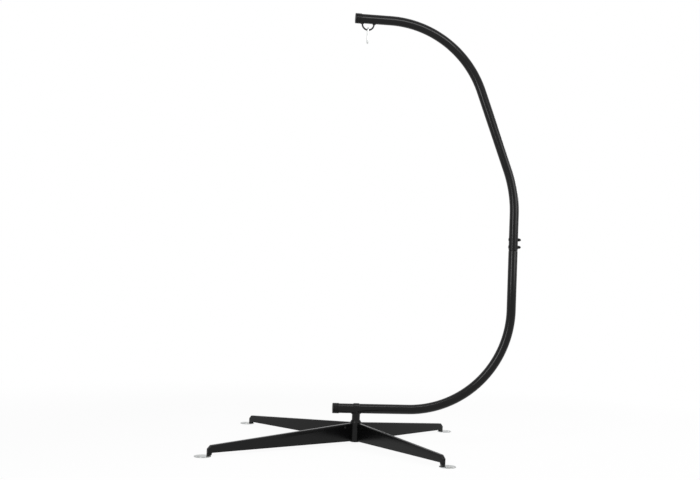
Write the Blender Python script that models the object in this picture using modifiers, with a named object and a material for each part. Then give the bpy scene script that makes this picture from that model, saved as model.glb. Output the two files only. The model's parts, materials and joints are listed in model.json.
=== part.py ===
"""Hammock stand: a bent tube arm that turns in the hub of a four-legged base, with an eye and a snap hook.

Units are metres, +Z is up, and the floor is at Z = 0. The Z axis is the axis that the arm turns on.
The arm lies in the XZ plane and bulges towards +X. The base is turned a little under it, as assembled.
"""
import math

import bmesh
import bpy
from mathutils import Matrix, Vector

# Fits
GAP = 0.0003                      # between pieces that touch, seat or slide in each other
BOLT_PLAY = 0.0003                # round a bolt in its hole, on the radius

# Arm: one round tube, bent twice and joined half-way up the upright
TUBE_OD = 0.045
TUBE_WALL = 0.002
ARM_TOP = 2.029                   # height of the top run's centre line
ARM_BOTTOM = 0.165                # height of the bottom run's centre line
ARM_REACH = 0.737                 # from the hub's axis to the upright's centre line
TOP_BEND_START = 0.095            # where the level top run starts to bend, from the hub's axis
TOP_BEND = 0.490                  # bend radii, to the centre line
KNEE_BEND = 0.600
BOTTOM_BEND = 0.490
TOP_TIP = -0.0775                 # the free ends with their caps, along X
BOTTOM_TIP = -0.113
SEAM_HEIGHT = 0.944               # where the two tubes meet
KNEE_OVER_SEAM = 0.176            # straight part of the upright over the seam
SPIGOT_LENGTH = 0.085             # reduced end of the lower tube, inside the upper one
SWAGE_LENGTH = 0.004              # over which the lower tube narrows

# Slip-over end caps
CAP_LENGTH = 0.030
CAP_WALL = 0.0015
CAP_END = 0.0025
CAP_EDGE = 0.001                  # chamfer round the closed end
CAP_GROOVES = 2
GROOVE_WIDTH = 0.0018
GROOVE_DEPTH = 0.0006
GROOVE_PITCH = 0.009

# Joint half-way up: two bolts through both tubes, low heads inside the curve and cap nuts outside it
JOINT_BOLTS = (("lower", 0.017), ("upper", 0.053))    # name and height over the seam
M8_RADIUS = 0.004
M8_FLATS = 0.013
M8_NUT_HEIGHT = 0.0065
LOW_HEAD_RADIUS = 0.008
LOW_HEAD_HEIGHT = 0.0015
LOW_HEAD_RIM = 0.0006             # straight edge under its dome
CAP_NUT_DOME = 0.00625            # radius of a cap nut's dome
CAP_NUT_HEIGHT = 0.013
CAP_NUT_DEPTH = 0.010             # its blind hole
CAP_NUT_THREAD = 0.008            # length of bolt in it
SADDLE_WASHER_RADIUS = 0.0085
SADDLE_WASHER_THICK = 0.002       # at its thinnest

# Half-ring eye under the top run
EYE_X = -0.0145
EYE_ROD = 0.0080
EYE_INSIDE = 0.0240               # radius of the round opening
EYE_LEG = 0.0025                  # straight part of the rod, from the tube to the round opening

# Snap hook, a pear-shaped loop in the YZ plane
HOOK_ROD = 0.0080
HOOK_LENGTH = 0.0800
HOOK_TOP_ARC = 0.0085             # centre line radii of its narrow and wide ends
HOOK_LOW_ARC = 0.0140
GATE_ROD = 0.0076
GATE_PIVOT_DOWN = 0.0050          # hinge pin, below the end of the top arc
GATE_NOSE_UP = 0.0020             # the nose's end face, above the start of the low arc
GATE_LATCH_GAP = 0.0005           # between the gate's end and the nose, so that the gate swings past it
GATE_SLOT = 0.0036                # width of the slot that straddles the body's tongue
GATE_SLOT_DEPTH = 0.0052          # from the pin to the slot's floor
PIN_RADIUS = 0.0013
TONGUE_END = 0.0026               # the body's end, past the pin
SPRING_OD = 0.0034
SPRING_WIRE = 0.0006
SPRING_LENGTH = 0.0110
SPRING_TURNS = 5
SPRING_BORE_PLAY = 0.0004
BALL_START = math.radians(75)     # where the gate's ball-shaped end is cut off flat

# Neck: the post that goes down into the hub, and the band that ties it to the arm
NECK_OD = 0.038
NECK_WALL = 0.003
NECK_FLARE = 0.008                # fillet under the arm
NECK_LIP = 0.004                  # how far the flare's rim comes up round the arm
STRAP_WIDTH = 0.025
STRAP_THICK = 0.0024
STRAP_EDGE = 0.0005

# Hub, from its bottom to its top
HUB_OD = 0.054
HUB_WALL = 0.003
HUB_BOTTOM = 0.0125
HUB_TOP = 0.099
PLUG_FACE = 0.0022                # the plug's face, under the hub
PLUG_RADIUS = 0.0245
PLUG_EDGE = 0.0015                # chamfer round its face
PLUG_SKIRT = 0.0050               # its ring inside the hub
PLUG_SKIRT_WALL = 0.0030
PIVOT_RADIUS = 0.005
PIVOT_HEAD_RADIUS = 0.0095
PIVOT_HEAD_HEIGHT = 0.0060
PIVOT_HEAD_UP = 0.0025            # the pivot bolt's head, over the hub's bottom
PIVOT_WASHER_RADIUS = 0.0120
PIVOT_WASHER_THICK = 0.0020
FLOOR_THICK = 0.0060
LOWER_BUSH_FLOOR = 0.0030
LOWER_BUSH_HEIGHT = 0.0250
POST_PLUG_HEIGHT = 0.0200
COLLAR_HEIGHT = 0.0120            # cone on top of the hub
COLLAR_RIM = 0.0010               # straight edge at the cone's foot
COLLAR_TOP_WALL = 0.0017
COLLAR_SLEEVE = 0.0300            # the bush's sleeve inside the hub

# Base: the feet stand at the corners of a square that lies off the hub's axis
FOOT_SPAN = 1.036                 # side of the square through the foot plates' centres
FOOT_OFFSET = 0.089               # the square's centre, from the hub's axis towards -X
BASE_TURN = math.radians(-9.9)    # the base under the arm, seen from above
LEG_WIDTH = 0.016
LEG_WALL = 0.002
LEG_EDGE = 0.0025                 # bend radius of the sheet
LEG_UNDERSIDE = 0.0135            # height of the leg's bottom edge
LEG_ROOT_TOP = 0.099              # height of its top edge at the hub
LEG_TIP_TOP = 0.046               # and at its outer end
LEG_CHAMFER = 0.015
LEG_SHORT_OF_FOOT = 0.022         # the leg's end, from the foot plate's centre
HEEL_LENGTH = 0.018               # part of the leg that comes down to the plate
HEEL_ROUND = 0.005
HEEL_FLOOR = 0.003
STUB_LENGTH = 0.075               # box section in the leg's root, from the hub
STUB_WALL = 0.0025
STUB_BOTTOM = 0.0165
LEG_BOLT_OUT = 0.065              # the leg bolts, from the hub's axis
LEG_BOLT_HEIGHT = 0.080
BUTTON_RADIUS = 0.00525
BUTTON_HEIGHT = 0.0033
BUTTON_RIM = 0.0005

# Foot plates and the small screws
PLATE_RADIUS = 0.036
PLATE_THICK = 0.0035
PLATE_EDGE = 0.0006
PEG_HOLE = 0.0055                 # radius
PEG_HOLE_OUT = 0.019              # from the plate's centre
M6_RADIUS = 0.003
M6_NUT_FLATS = 0.010
M6_NUT_HEIGHT = 0.005
M5_RADIUS = 0.0025
M5_NUT_FLATS = 0.008
M5_NUT_HEIGHT = 0.004
BOLT_OVER = 0.0015                # a bolt's end past its nut
COUNTERSINK_RADIUS = 0.0050
COUNTERSINK_DEPTH = 0.0025

# Facets
BEND_STEP = math.radians(6.0)     # round a bend of the arm
TUBE_SIDES = 24
TURNED_STEPS = 24
BOLT_STEPS = 12
ROD_RESOLUTION = 4                # 12 sides
SPRING_RESOLUTION = 1
SPRING_STEPS = 8                  # round one turn
EYE_STEPS = 16
HOOK_STEPS = 12                   # round each end of the loop
BALL_STEPS = 3
DOME_STEPS = 5
HEAD_STEPS = 3
FLARE_STEPS = 5
HEEL_STEPS = 3
BEVEL_STEPS = 3
SHARP = math.radians(35)          # an edge that turns more than this is shaded sharp
STRAIGHT = math.radians(1)
MERGE = 0.00001

TUBE_R = TUBE_OD / 2
NECK_R = NECK_OD / 2
HUB_R = HUB_OD / 2
HUB_BORE_R = HUB_R - HUB_WALL
SOLE_TOP = PLATE_THICK + GAP      # underside of a leg's heel

# The leaning run between the two upper bends is the line that touches both
RUN_ACROSS = ARM_REACH - TOP_BEND_START - KNEE_BEND
RUN_UP = ARM_TOP - SEAM_HEIGHT - GAP - KNEE_OVER_SEAM - TOP_BEND
RUN_TURN = math.asin((KNEE_BEND - TOP_BEND) / math.hypot(RUN_ACROSS, RUN_UP))
LEAN = math.atan2(RUN_ACROSS, RUN_UP) + RUN_TURN      # from upright
LEAN_LENGTH = RUN_ACROSS * math.sin(LEAN) + RUN_UP * math.cos(LEAN)

# Places worked out from the sizes above
EYE_ROD_R = EYE_ROD / 2
EYE_MID_R = EYE_INSIDE + EYE_ROD_R
EYE_CENTRE_Z = ARM_TOP - TUBE_R - GAP - EYE_LEG
EYE_LOW_Z = EYE_CENTRE_Z - EYE_MID_R                  # centre line of the rod at its lowest
HOOK_R = HOOK_ROD / 2
HOOK_TOP_Z = EYE_LOW_Z + EYE_ROD_R + GAP + HOOK_R - HOOK_TOP_ARC   # centre of the hook's top arc
HOOK_ARC_DROP = HOOK_LENGTH - HOOK_TOP_ARC - HOOK_LOW_ARC - HOOK_ROD
HOOK_SPREAD = math.asin((HOOK_LOW_ARC - HOOK_TOP_ARC) / HOOK_ARC_DROP)
HOOK_SIDE = HOOK_ARC_DROP * math.cos(HOOK_SPREAD)     # straight side of the loop
PIVOT_HEAD_Z = HUB_BOTTOM + PIVOT_HEAD_UP
PIVOT_WASHER_Z = PIVOT_HEAD_Z + PIVOT_HEAD_HEIGHT + GAP
FLOOR_Z = PIVOT_WASHER_Z + PIVOT_WASHER_THICK + GAP
LOWER_BUSH_Z = FLOOR_Z + FLOOR_THICK + GAP
POST_BOTTOM = LOWER_BUSH_Z + LOWER_BUSH_FLOOR + GAP


def srgb(code):
    """Linear colour from a hex colour such as 1A2B3C."""
    parts = [int(code[i:i + 2], 16) / 255 for i in (0, 2, 4)]
    linear = [c / 12.92 if c <= 0.04045 else ((c + 0.055) / 1.055) ** 2.4 for c in parts]
    return (*linear, 1.0)


def material(name, code, metallic, roughness):
    made = bpy.data.materials.new(name)
    made.use_nodes = True
    shader = made.node_tree.nodes["Principled BSDF"]
    shader.inputs["Base Color"].default_value = srgb(code)
    shader.inputs["Metallic"].default_value = metallic
    shader.inputs["Roughness"].default_value = roughness
    return made


def clear_scene():
    for thing in list(bpy.data.objects):
        bpy.data.objects.remove(thing, do_unlink=True)


def new_collection(name):
    made = bpy.data.collections.new(name)
    bpy.context.scene.collection.children.link(made)
    return made


clear_scene()
PARTS = new_collection("hammock_stand")
CUTTERS = new_collection("cutters")
COATED = material("black_powder_coat", "141414", 0.0, 0.28)
PLASTIC = material("black_plastic", "121212", 0.0, 0.45)
NYLON = material("white_nylon", "D8D6CE", 0.0, 0.50)
ZINC = material("zinc_plate", "C9CBCC", 1.0, 0.28)
SPRING_STEEL = material("spring_steel", "8C8E90", 1.0, 0.35)


def add_object(name, data, finish, parent=None, location=(0, 0, 0), rotation=(0, 0, 0)):
    """An object in the parts' collection, or a hidden cutter where finish is None."""
    made = bpy.data.objects.new(name, data)
    made.location = location
    made.rotation_euler = rotation
    made.parent = parent
    if finish is None:
        CUTTERS.objects.link(made)
        made.hide_render = True
        made.display_type = "WIRE"
    else:
        PARTS.objects.link(made)
        data.materials.clear()
        data.materials.append(finish)
    return made


def add_empty(name, location=(0, 0, 0), turn=0.0, parent=None):
    made = bpy.data.objects.new(name, None)
    made.location = location
    made.rotation_euler = (0, 0, turn)
    made.parent = parent
    PARTS.objects.link(made)
    return made


def smooth(mesh):
    mesh.shade_smooth()
    mesh.set_sharp_from_angle(angle=SHARP)


def evaluated_mesh(thing):
    """The object's mesh with its modifiers, as a mesh of its own; the object is removed."""
    bpy.context.view_layer.update()
    graph = bpy.context.evaluated_depsgraph_get()
    made = bpy.data.meshes.new_from_object(thing.evaluated_get(graph))
    old = thing.data
    bpy.data.objects.remove(thing, do_unlink=True)
    if isinstance(old, bpy.types.Curve):
        bpy.data.curves.remove(old)
    return made


def weld(mesh):
    work = bmesh.new()
    work.from_mesh(mesh)
    bmesh.ops.remove_doubles(work, verts=work.verts, dist=MERGE)
    bmesh.ops.recalc_face_normals(work, faces=work.faces)
    work.to_mesh(mesh)
    work.free()
    return mesh


def turned_mesh(profile, closed=True, steps=TURNED_STEPS):
    """Mesh turned round Z from a profile of (radius, height), given down its outer side first."""
    mesh = bpy.data.meshes.new("profile")
    edges = [(i, i + 1) for i in range(len(profile) - 1)]
    if closed:
        edges.append((len(profile) - 1, 0))
    mesh.from_pydata([(r, 0, z) for r, z in profile], edges, [])
    thing = add_object("profile", mesh, None)
    screw = thing.modifiers.new("turn", "SCREW")
    screw.steps = steps
    screw.render_steps = steps
    screw.use_merge_vertices = True
    screw.merge_threshold = MERGE
    made = weld(evaluated_mesh(thing))
    smooth(made)
    return made


def rod_mesh(points, radius, resolution=ROD_RESOLUTION, caps=True, factors=None):
    """Mesh of a round rod along points; factors scale its radius at each point."""
    data = bpy.data.curves.new("rod", "CURVE")
    data.dimensions = "3D"
    data.bevel_depth = radius
    data.bevel_resolution = resolution
    data.use_fill_caps = caps
    spline = data.splines.new("POLY")
    spline.points.add(len(points) - 1)
    for i, point in enumerate(points):
        spline.points[i].co = (*point, 1.0)
        spline.points[i].radius = factors[i] if factors else 1.0
    return weld(evaluated_mesh(add_object("rod", data, None)))


def outline_mesh(outline, thickness):
    """Flat piece in the XZ plane from an outline of (x, z), centred on Y = 0."""
    data = bpy.data.curves.new("outline", "CURVE")
    data.dimensions = "2D"
    data.fill_mode = "BOTH"
    data.extrude = thickness / 2
    spline = data.splines.new("POLY")
    spline.points.add(len(outline) - 1)
    for i, (x, z) in enumerate(outline):
        spline.points[i].co = (x, z, 0, 1.0)
    spline.use_cyclic_u = True
    made = evaluated_mesh(add_object("outline", data, None))
    made.transform(Matrix.Rotation(math.pi / 2, 4, "X"))
    return weld(made)


def prism_mesh(radius, depth, sides=BOLT_STEPS, top_radius=None):
    """Prism or cone on Z from 0 up to depth."""
    work = bmesh.new()
    upper = radius if top_radius is None else top_radius
    bmesh.ops.create_cone(work, cap_ends=True, segments=sides, radius1=radius, radius2=upper, depth=depth,
                          matrix=Matrix.Translation((0, 0, depth / 2)))
    mesh = bpy.data.meshes.new("prism")
    work.to_mesh(mesh)
    work.free()
    return mesh


def box_mesh(size):
    work = bmesh.new()
    bmesh.ops.create_cube(work, size=1.0, matrix=Matrix.Diagonal((*size, 1.0)))
    mesh = bpy.data.meshes.new("box")
    work.to_mesh(mesh)
    work.free()
    return mesh


def hexagon_mesh(flats, height):
    """Hexagon standing on Z = 0 with two of its corners on the X axis."""
    mesh = prism_mesh(flats / (2 * math.cos(math.pi / 6)), height, 6)
    mesh.transform(Matrix.Rotation(math.pi / 6, 4, "Z"))
    return mesh


def head_profile(radius, height, rim):
    """Domed bolt head on Z = 0, from its middle down to its straight rim and foot."""
    dome = height - rim
    ball = (radius ** 2 + dome ** 2) / (2 * dome)
    half = math.asin(radius / ball)
    points = arc((0, height - ball), ball, math.pi / 2, math.pi / 2 - half, HEAD_STEPS)
    return [(0, height)] + points[1:] + [(radius, 0)]


def boolean(thing, other, operation="DIFFERENCE"):
    step = thing.modifiers.new(operation.lower(), "BOOLEAN")
    step.operation = operation
    step.solver = "EXACT"
    step.object = other


def cutter(name, mesh, parent=None, location=(0, 0, 0), rotation=(0, 0, 0)):
    return add_object("cut_" + name, mesh, None, parent, location, rotation)


def add_copies(mesh, finish, parent, spots):
    """One object for each name and matrix; all of them share the mesh."""
    smooth(mesh)
    for name, matrix in spots:
        add_object(name, mesh, finish, parent).matrix_local = matrix


def place(location, rotation=(0, 0, 0)):
    turn = Matrix.Rotation(rotation[2], 4, "Z") @ Matrix.Rotation(rotation[1], 4, "Y")
    return Matrix.Translation(location) @ turn @ Matrix.Rotation(rotation[0], 4, "X")


def arc(centre, radius, start, end, steps):
    """Points on an arc, in the plane of the two coordinates given; angles in radians."""
    angles = [start + (end - start) * i / steps for i in range(steps + 1)]
    return [(centre[0] + radius * math.cos(a), centre[1] + radius * math.sin(a)) for a in angles]


def tube_route(start, heading, moves):
    """Centre line in the XZ plane: moves are (length, 0) for a run or (radius, angle) for a left bend."""
    points = [Vector(start)]
    for size, angle in moves:
        if not angle:
            points.append(points[-1] + size * Vector((math.cos(heading), math.sin(heading))))
            continue
        centre = points[-1] + size * Vector((-math.sin(heading), math.cos(heading)))
        steps = max(2, round(angle / BEND_STEP))
        first = heading - math.pi / 2
        points += [Vector(p) for p in arc(centre, size, first, first + angle, steps)[1:]]
        heading += angle
    return [(p.x, 0.0, p.y) for p in points]


def pipe(name, points, factors, parent):
    """Hollow tube along a route."""
    resolution = TUBE_SIDES // 2 - 2                  # a curve's bevel has 2 * (resolution + 2) sides
    mesh = rod_mesh(points, TUBE_R, resolution, caps=False, factors=factors)
    smooth(mesh)
    made = add_object(name, mesh, COATED, parent)
    shell = made.modifiers.new("wall", "SOLIDIFY")
    shell.thickness = TUBE_WALL
    shell.offset = -1.0
    shell.use_even_offset = True
    return made


# Bodies that move, each on an empty at its joint
BASE_FRAME = add_empty("base_frame", turn=BASE_TURN)
ARM_FRAME = add_empty("arm_pivot")
HOOK_FRAME = add_empty("hook_pivot", (EYE_X, 0, EYE_LOW_Z), parent=ARM_FRAME)
SIDE_NORMAL = Vector((0, math.cos(HOOK_SPREAD), math.sin(HOOK_SPREAD)))
SIDE_DOWN = Vector((0, math.sin(HOOK_SPREAD), -math.cos(HOOK_SPREAD)))
HOOK_TOP = Vector((0, 0, HOOK_TOP_Z - EYE_LOW_Z))     # centre of the top arc, from the hook's pivot
GATE_PIVOT = HOOK_TOP + HOOK_TOP_ARC * SIDE_NORMAL + GATE_PIVOT_DOWN * SIDE_DOWN
GATE_FRAME = add_empty("gate_pivot", GATE_PIVOT, parent=HOOK_FRAME)
GATE_FRAME.rotation_euler = (HOOK_SPREAD, 0, 0)       # -Z of this frame runs down the gate


def joint_holes(tube):
    drill = prism_mesh(M8_RADIUS + BOLT_PLAY, 2 * TUBE_OD)
    for name, over in JOINT_BOLTS:
        spot = (ARM_REACH - TUBE_OD, 0, SEAM_HEIGHT + over)
        boolean(tube, cutter(f"{tube.name}_{name}", drill, ARM_FRAME, spot, (0, math.pi / 2, 0)))


def lower_arm_tube():
    start = BOTTOM_TIP + CAP_END + GAP
    level = ARM_REACH - BOTTOM_BEND - start
    upright = SEAM_HEIGHT - SWAGE_LENGTH - ARM_BOTTOM - BOTTOM_BEND
    moves = [(level, 0), (BOTTOM_BEND, math.pi / 2), (upright, 0), (SWAGE_LENGTH, 0), (SPIGOT_LENGTH, 0)]
    points = tube_route((start, ARM_BOTTOM), 0.0, moves)
    spigot = (TUBE_R - TUBE_WALL - GAP) / TUBE_R
    factors = [1.0] * (len(points) - 2) + [spigot, spigot]
    tube = pipe("lower_arm_tube", points, factors, ARM_FRAME)
    joint_holes(tube)


def upper_arm_tube():
    start = (ARM_REACH, SEAM_HEIGHT + GAP)
    level = TOP_BEND_START - (TOP_TIP + CAP_END + GAP)
    moves = [(KNEE_OVER_SEAM, 0), (KNEE_BEND, LEAN), (LEAN_LENGTH, 0), (TOP_BEND, math.pi / 2 - LEAN)]
    moves.append((level, 0))
    tube = pipe("upper_arm_tube", tube_route(start, math.pi / 2, moves), None, ARM_FRAME)
    joint_holes(tube)


def cap_profile():
    """From the closed end's middle, down the grooved outside, and back up the bore."""
    outer = TUBE_R + GAP + CAP_WALL
    profile = [(0, 0), (outer - CAP_EDGE, 0), (outer, -CAP_EDGE)]
    first = (CAP_LENGTH - (CAP_GROOVES - 1) * GROOVE_PITCH) / 2
    for i in range(CAP_GROOVES):
        middle = -(first + i * GROOVE_PITCH)
        profile.append((outer, middle + GROOVE_WIDTH / 2))
        profile.append((outer - GROOVE_DEPTH, middle))
        profile.append((outer, middle - GROOVE_WIDTH / 2))
    profile += [(outer, -CAP_LENGTH), (TUBE_R + GAP, -CAP_LENGTH), (TUBE_R + GAP, -CAP_END), (0, -CAP_END)]
    return profile


def end_caps():
    for name, tip, height in (("top_end_cap", TOP_TIP, ARM_TOP), ("bottom_end_cap", BOTTOM_TIP, ARM_BOTTOM)):
        mesh = turned_mesh(cap_profile(), closed=False)
        add_object(name, mesh, PLASTIC, ARM_FRAME, (tip, 0, height), (0, -math.pi / 2, 0))


def joint_spots(kind, out):
    """Names and places on the joint's bolts, out from the tube's centre line; Z points to +X."""
    return [(f"{kind}_{name}", place((ARM_REACH + out, 0, SEAM_HEIGHT + over), (0, math.pi / 2, 0)))
            for name, over in JOINT_BOLTS]


def joint_fasteners():
    hole = M8_RADIUS + BOLT_PLAY
    seat = TUBE_R + GAP
    face = seat + SADDLE_WASHER_THICK
    washer = add_object("washer", prism_mesh(SADDLE_WASHER_RADIUS, face, TURNED_STEPS), PLASTIC)
    tube = prism_mesh(seat, TUBE_OD * 2, TUBE_SIDES * 2)
    boolean(washer, cutter("washer_tube", tube, location=(-TUBE_OD, 0, 0), rotation=(0, math.pi / 2, 0)))
    boolean(washer, cutter("washer_hole", prism_mesh(hole, 2 * face)))
    add_copies(evaluated_mesh(washer), PLASTIC, ARM_FRAME, joint_spots("joint_saddle_washer", 0))

    nut = add_object("nut", hexagon_mesh(M8_FLATS, M8_NUT_HEIGHT), COATED)
    profile = arc((0, CAP_NUT_HEIGHT - CAP_NUT_DOME), CAP_NUT_DOME, math.pi / 2, 0, DOME_STEPS)
    profile[0] = (0, CAP_NUT_HEIGHT)
    dome = turned_mesh(profile + [(CAP_NUT_DOME, GAP), (0, GAP)], closed=False, steps=BOLT_STEPS)
    boolean(nut, cutter("nut_dome", dome), "UNION")
    drill = prism_mesh(hole, 2 * CAP_NUT_DEPTH)
    boolean(nut, cutter("nut_hole", drill, location=(0, 0, -CAP_NUT_DEPTH)))
    add_copies(evaluated_mesh(nut), COATED, ARM_FRAME, joint_spots("joint_cap_nut", face + GAP))

    length = seat + face + GAP + CAP_NUT_THREAD
    head = [(r, -z) for r, z in reversed(head_profile(LOW_HEAD_RADIUS, LOW_HEAD_HEIGHT, LOW_HEAD_RIM))]
    profile = [(0, length), (M8_RADIUS, length), (M8_RADIUS, 0)] + head
    bolt = turned_mesh(profile, closed=False, steps=BOLT_STEPS)
    add_copies(bolt, COATED, ARM_FRAME, joint_spots("joint_bolt", -seat))


def hanging_eye():
    top = EYE_CENTRE_Z + EYE_LEG
    ring = arc((EYE_X, EYE_CENTRE_Z), EYE_MID_R, math.pi, 2 * math.pi, EYE_STEPS)
    route = [(EYE_X - EYE_MID_R, top)] + ring + [(EYE_X + EYE_MID_R, top)]
    mesh = rod_mesh([(x, 0, z) for x, z in route], EYE_ROD_R)
    smooth(mesh)
    add_object("hanging_eye", mesh, COATED, ARM_FRAME)


def snap_hook_body():
    """Bent rod from the tongue at the gate's hinge, over the top and round to the nose."""
    low = HOOK_TOP - Vector((0, 0, HOOK_ARC_DROP))
    tongue = GATE_PIVOT + TONGUE_END * SIDE_DOWN
    nose = low + HOOK_LOW_ARC * SIDE_NORMAL - GATE_NOSE_UP * SIDE_DOWN
    over = arc((HOOK_TOP.y, HOOK_TOP.z), HOOK_TOP_ARC, HOOK_SPREAD, math.pi - HOOK_SPREAD, HOOK_STEPS)
    under = arc((low.y, low.z), HOOK_LOW_ARC, math.pi - HOOK_SPREAD, 2 * math.pi + HOOK_SPREAD, HOOK_STEPS)
    mesh = rod_mesh([tongue] + [Vector((0, y, z)) for y, z in over + under] + [nose], HOOK_R)
    smooth(mesh)
    body = add_object("snap_hook_body", mesh, ZINC, HOOK_FRAME)
    tongue_side = GATE_SLOT / 2 - GAP
    shoulder = GATE_ROD / 2 + 2 * GAP                 # over the pin, clear of the gate's round end
    reach = shoulder + GATE_PIVOT_DOWN
    for side in (-1, 1):
        block = box_mesh((HOOK_ROD, HOOK_ROD * 2, reach))
        middle = (side * (tongue_side + HOOK_ROD / 2), 0, shoulder - reach / 2)
        boolean(body, cutter(f"tongue_{side}", block, GATE_FRAME, middle))
    drill = prism_mesh(PIN_RADIUS + BOLT_PLAY, HOOK_ROD)
    boolean(body, cutter("tongue_pin", drill, GATE_FRAME, (-HOOK_R, 0, 0), (0, math.pi / 2, 0)))


def snap_hook_gate():
    """Round gate with a ball-shaped forked end on the pin and a bore for its spring."""
    radius = GATE_ROD / 2
    length = HOOK_SIDE - GATE_PIVOT_DOWN - GATE_NOSE_UP - GATE_LATCH_GAP
    ball = [BALL_START * (1 - i / BALL_STEPS) for i in range(BALL_STEPS + 1)]
    route = [(0, 0, radius * math.sin(a)) for a in ball] + [(0, 0, -length)]
    mesh = rod_mesh(route, radius, factors=[math.cos(a) for a in ball] + [1.0])
    smooth(mesh)
    gate = add_object("snap_hook_gate", mesh, ZINC, GATE_FRAME)
    slot = box_mesh((GATE_SLOT, GATE_ROD * 2, GATE_SLOT_DEPTH + GATE_ROD))
    boolean(gate, cutter("gate_slot", slot, GATE_FRAME, (0, 0, (GATE_ROD - GATE_SLOT_DEPTH) / 2)))
    drill = prism_mesh(PIN_RADIUS + BOLT_PLAY, GATE_ROD * 2)
    boolean(gate, cutter("gate_pin", drill, GATE_FRAME, (-GATE_ROD, 0, 0), (0, math.pi / 2, 0)))
    well = prism_mesh(SPRING_OD / 2 + SPRING_BORE_PLAY, SPRING_LENGTH + SPRING_WIRE)
    boolean(gate, cutter("gate_bore", well, GATE_FRAME, (0, 0, -GATE_SLOT_DEPTH - SPRING_LENGTH)))


def gate_pin():
    length = HOOK_ROD
    mesh = prism_mesh(PIN_RADIUS, length)
    smooth(mesh)
    add_object("gate_pin", mesh, ZINC, GATE_FRAME, (-length / 2, 0, 0), (0, math.pi / 2, 0))


def gate_spring():
    radius = (SPRING_OD - SPRING_WIRE) / 2
    count = SPRING_TURNS * SPRING_STEPS
    travel = SPRING_LENGTH - SPRING_WIRE - 2 * GAP
    start = -GATE_SLOT_DEPTH - SPRING_LENGTH + SPRING_WIRE / 2 + GAP
    route = []
    for i in range(count + 1):
        angle = 2 * math.pi * i / SPRING_STEPS
        route.append((radius * math.cos(angle), radius * math.sin(angle), start + travel * i / count))
    mesh = rod_mesh(route, SPRING_WIRE / 2, SPRING_RESOLUTION)
    smooth(mesh)
    add_object("gate_spring", mesh, SPRING_STEEL, GATE_FRAME)


def saddle_strap():
    inner = TUBE_R + GAP
    outer = inner + STRAP_THICK
    half = STRAP_WIDTH / 2
    profile = [(outer - STRAP_EDGE, half), (outer, half - STRAP_EDGE), (outer, STRAP_EDGE - half),
               (outer - STRAP_EDGE, -half), (inner, -half), (inner, half)]
    mesh = turned_mesh(profile)
    add_object("saddle_strap", mesh, COATED, ARM_FRAME, (0, 0, ARM_BOTTOM), (0, math.pi / 2, 0))


def neck_post():
    """Post whose top flares out under the arm and is cut to sit round the tube and its strap."""
    inner = NECK_R - NECK_WALL
    rim = NECK_R + NECK_FLARE
    under = ARM_BOTTOM - TUBE_R
    flare = arc((rim, under - NECK_FLARE), NECK_FLARE, math.pi / 2, math.pi, FLARE_STEPS)
    profile = [(rim, under + NECK_LIP)] + flare + [(NECK_R, POST_BOTTOM), (inner, POST_BOTTOM)]
    profile.append((inner, under + NECK_LIP))
    post = add_object("neck_post", turned_mesh(profile), COATED, ARM_FRAME)
    along = (0, math.pi / 2, 0)
    saddle = prism_mesh(TUBE_R + GAP, 4 * rim, TUBE_SIDES)
    boolean(post, cutter("neck_tube", saddle, ARM_FRAME, (-2 * rim, 0, ARM_BOTTOM), along))
    half = STRAP_WIDTH / 2 + GAP
    band = prism_mesh(TUBE_R + STRAP_THICK + 2 * GAP, 2 * half, TUBE_SIDES)
    boolean(post, cutter("neck_strap", band, ARM_FRAME, (-half, 0, ARM_BOTTOM), along))


def ring_profile(outer, inner, low, high):
    return [(outer, high), (outer, low), (inner, low), (inner, high)]


def pivot_parts():
    """What holds the post down in the hub: a plug in its end, a bolt and a washer."""
    hole = PIVOT_RADIUS + BOLT_PLAY
    plug = turned_mesh(ring_profile(NECK_R - NECK_WALL - GAP, hole, 0, POST_PLUG_HEIGHT))
    add_object("post_plug", plug, ZINC, ARM_FRAME, (0, 0, POST_BOTTOM))
    washer = turned_mesh(ring_profile(PIVOT_WASHER_RADIUS, hole, 0, PIVOT_WASHER_THICK))
    add_object("pivot_washer", washer, ZINC, ARM_FRAME, (0, 0, PIVOT_WASHER_Z))
    shaft_top = POST_BOTTOM + POST_PLUG_HEIGHT - PIVOT_HEAD_Z
    profile = [(0, shaft_top), (PIVOT_RADIUS, shaft_top), (PIVOT_RADIUS, PIVOT_HEAD_HEIGHT),
               (PIVOT_HEAD_RADIUS, PIVOT_HEAD_HEIGHT), (PIVOT_HEAD_RADIUS, 0), (0, 0)]
    bolt = turned_mesh(profile, closed=False)
    add_object("pivot_bolt", bolt, ZINC, ARM_FRAME, (0, 0, PIVOT_HEAD_Z))


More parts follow.
